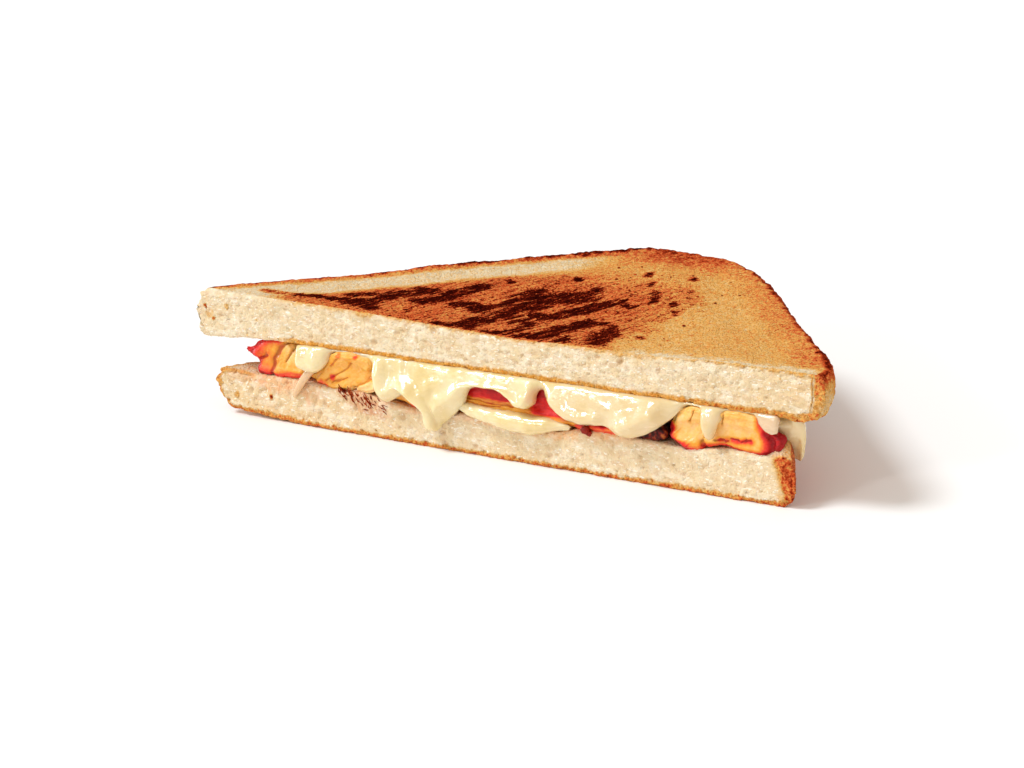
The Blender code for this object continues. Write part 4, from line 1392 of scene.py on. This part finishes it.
# %% A tapered tube
def tube(shell, path, radii, sides=10):
    """A closed tube along a path in millimetres, with a radius at each of its points."""
    path = np.array(path, float)
    rings = []
    for k, (spot, radius) in enumerate(zip(path, radii)):
        ahead = Vector(path[min(k + 1, len(path) - 1)] - path[max(k - 1, 0)]).normalized()
        side = ahead.cross(Vector((0.3, 0.9, 0.2))).normalized()
        over = ahead.cross(side)
        ring = []
        for t in range(sides):
            turn = 2 * math.pi * t / sides
            out = side * math.cos(turn) + over * math.sin(turn)
            ring.append(shell.verts.new((Vector(spot) + out * radius) * MM))
        rings.append(ring)
    for below, above in zip(rings[:-1], rings[1:]):
        for k in range(sides):
            shell.faces.new((below[k], below[(k + 1) % sides], above[(k + 1) % sides], above[k]))
    shell.faces.new(list(reversed(rings[0])))
    shell.faces.new(rings[-1])


def small_piece(shell, name, finish, slot, **painted):
    """Turns a small shell into a piece with constant painted numbers."""
    bmesh.ops.recalc_face_normals(shell, faces=shell.faces)
    mesh = bpy.data.meshes.new(name)
    shell.to_mesh(mesh)
    shell.free()
    mesh.shade_smooth()
    mesh.materials.append(finish)
    piece = bpy.data.objects.new(name, mesh)
    bpy.context.scene.collection.objects.link(piece)
    for key, value in painted.items():
        paint(piece, key, np.full(len(mesh.vertices), value))
    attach(piece, "root")
    print(name, "has", len(mesh.polygons), "faces")


def even_spots(points, count):
    """Even spots along a smooth line through a few points."""
    points = np.array(points, float)
    share = np.linspace(0, 1, len(points))
    fine_share = np.linspace(0, 1, count)
    line = np.column_stack([np.interp(fine_share, share, points[:, k]) for k in range(points.shape[1])])
    for _ in range(3):
        line[1:-1] = (line[:-2] + 2 * line[1:-1] + line[2:]) / 4
    return line


# %% The thread of cheese
shell = bmesh.new()
hanging = [
    (-48.6, CUT - 0.2, 14.4, 1.0), (-50.2, CUT - 0.9, 12.6, 0.8), (-52.0, CUT - 1.0, 10.4, 0.75),
    (-53.6, CUT - 0.7, 8.4, 0.7), (-54.8, CUT - 0.4, 6.6, 0.35),
]
line = even_spots(hanging, 24)
tube(shell, line[:, :3], line[:, 3] * 1.2)
small_piece(shell, "cheese_thread", melted_cheese, "melted_cheese", shaded=0.25, rosy=0.75)

# %% Burnt fibres on the lower slice
FIBRES = 80
# What else the finish of toasted bread reads, for a small piece that has nothing but its toasting.
PLAIN = dict.fromkeys(("char", "pore", "crumb", "golden", "stain", "burnt"), 0.0)

lot = np.random.default_rng(71)  # the crumbs draw on it too
shell = bmesh.new()
for _ in range(FIBRES):
    x = lot.uniform(-42.5, -30.5)
    z = 9.5 - 0.2 * (x + 42) + lot.normal(0, 0.75)
    lean = math.radians(lot.normal(-50, 28))
    half = lot.uniform(0.5, 1.3)
    out = CUT - lot.uniform(0.05, 0.45)
    across, upright = half * math.cos(lean), half * math.sin(lean)
    path = [(x - across, out + 0.25, z - upright), (x, out, z), (x + across, out + 0.25, z + upright)]
    tube(shell, path, (0.04, lot.uniform(0.08, 0.14), 0.04), 6)
small_piece(shell, "burnt_fibres", toasted_bread, "charred_chicken", toast=0.67, **PLAIN)

# %% The drop of red glaze
shell = bmesh.new()
bead(shell, 21.4, 0.6, 9.9, 1.05)
bead(shell, 22.1, 0.5, 9.2, 0.6)
for spot in shell.verts:
    spot.co += spot.normal * 0.12 * MM * math.sin(spot.co.x / MM * 5.1 + spot.co.z / MM * 7.3)
small_piece(shell, "glaze_drop", tikka_chicken, "tikka_chicken", spice=1.0, fold=0.8)

# %% Toasted crumbs
CRUMB_THROWS = 150  # those that miss the toasted middle are left out
MIDDLE_ACROSS = (-6, 34)
MIDDLE_BEHIND = (10, 54)

top_points = points_of(upper)[normals_of(upper)[:, 2] > 0.8]
shell = bmesh.new()
for _ in range(CRUMB_THROWS):
    spot = top_points[lot.integers(len(top_points))]
    x, behind = spot[0], spot[1] - CUT
    if not (MIDDLE_ACROSS[0] < x < MIDDLE_ACROSS[1] and MIDDLE_BEHIND[0] < behind < MIDDLE_BEHIND[1]):
        continue
    radius = lot.uniform(0.14, 0.36)
    where = Matrix.Translation(Vector((x, spot[1], spot[2] + 0.1)) * MM)
    where = where @ Matrix.Diagonal((1.3, 1.0, 0.8, 1.0))
    bmesh.ops.create_icosphere(shell, subdivisions=1, radius=radius * MM, matrix=where)
for spot in shell.verts:
    spot.co += Vector(lot.normal(0, 0.05, 3)) * MM
small_piece(shell, "toasted_crumbs", toasted_bread, "toasted_bread", toast=0.66, **PLAIN)
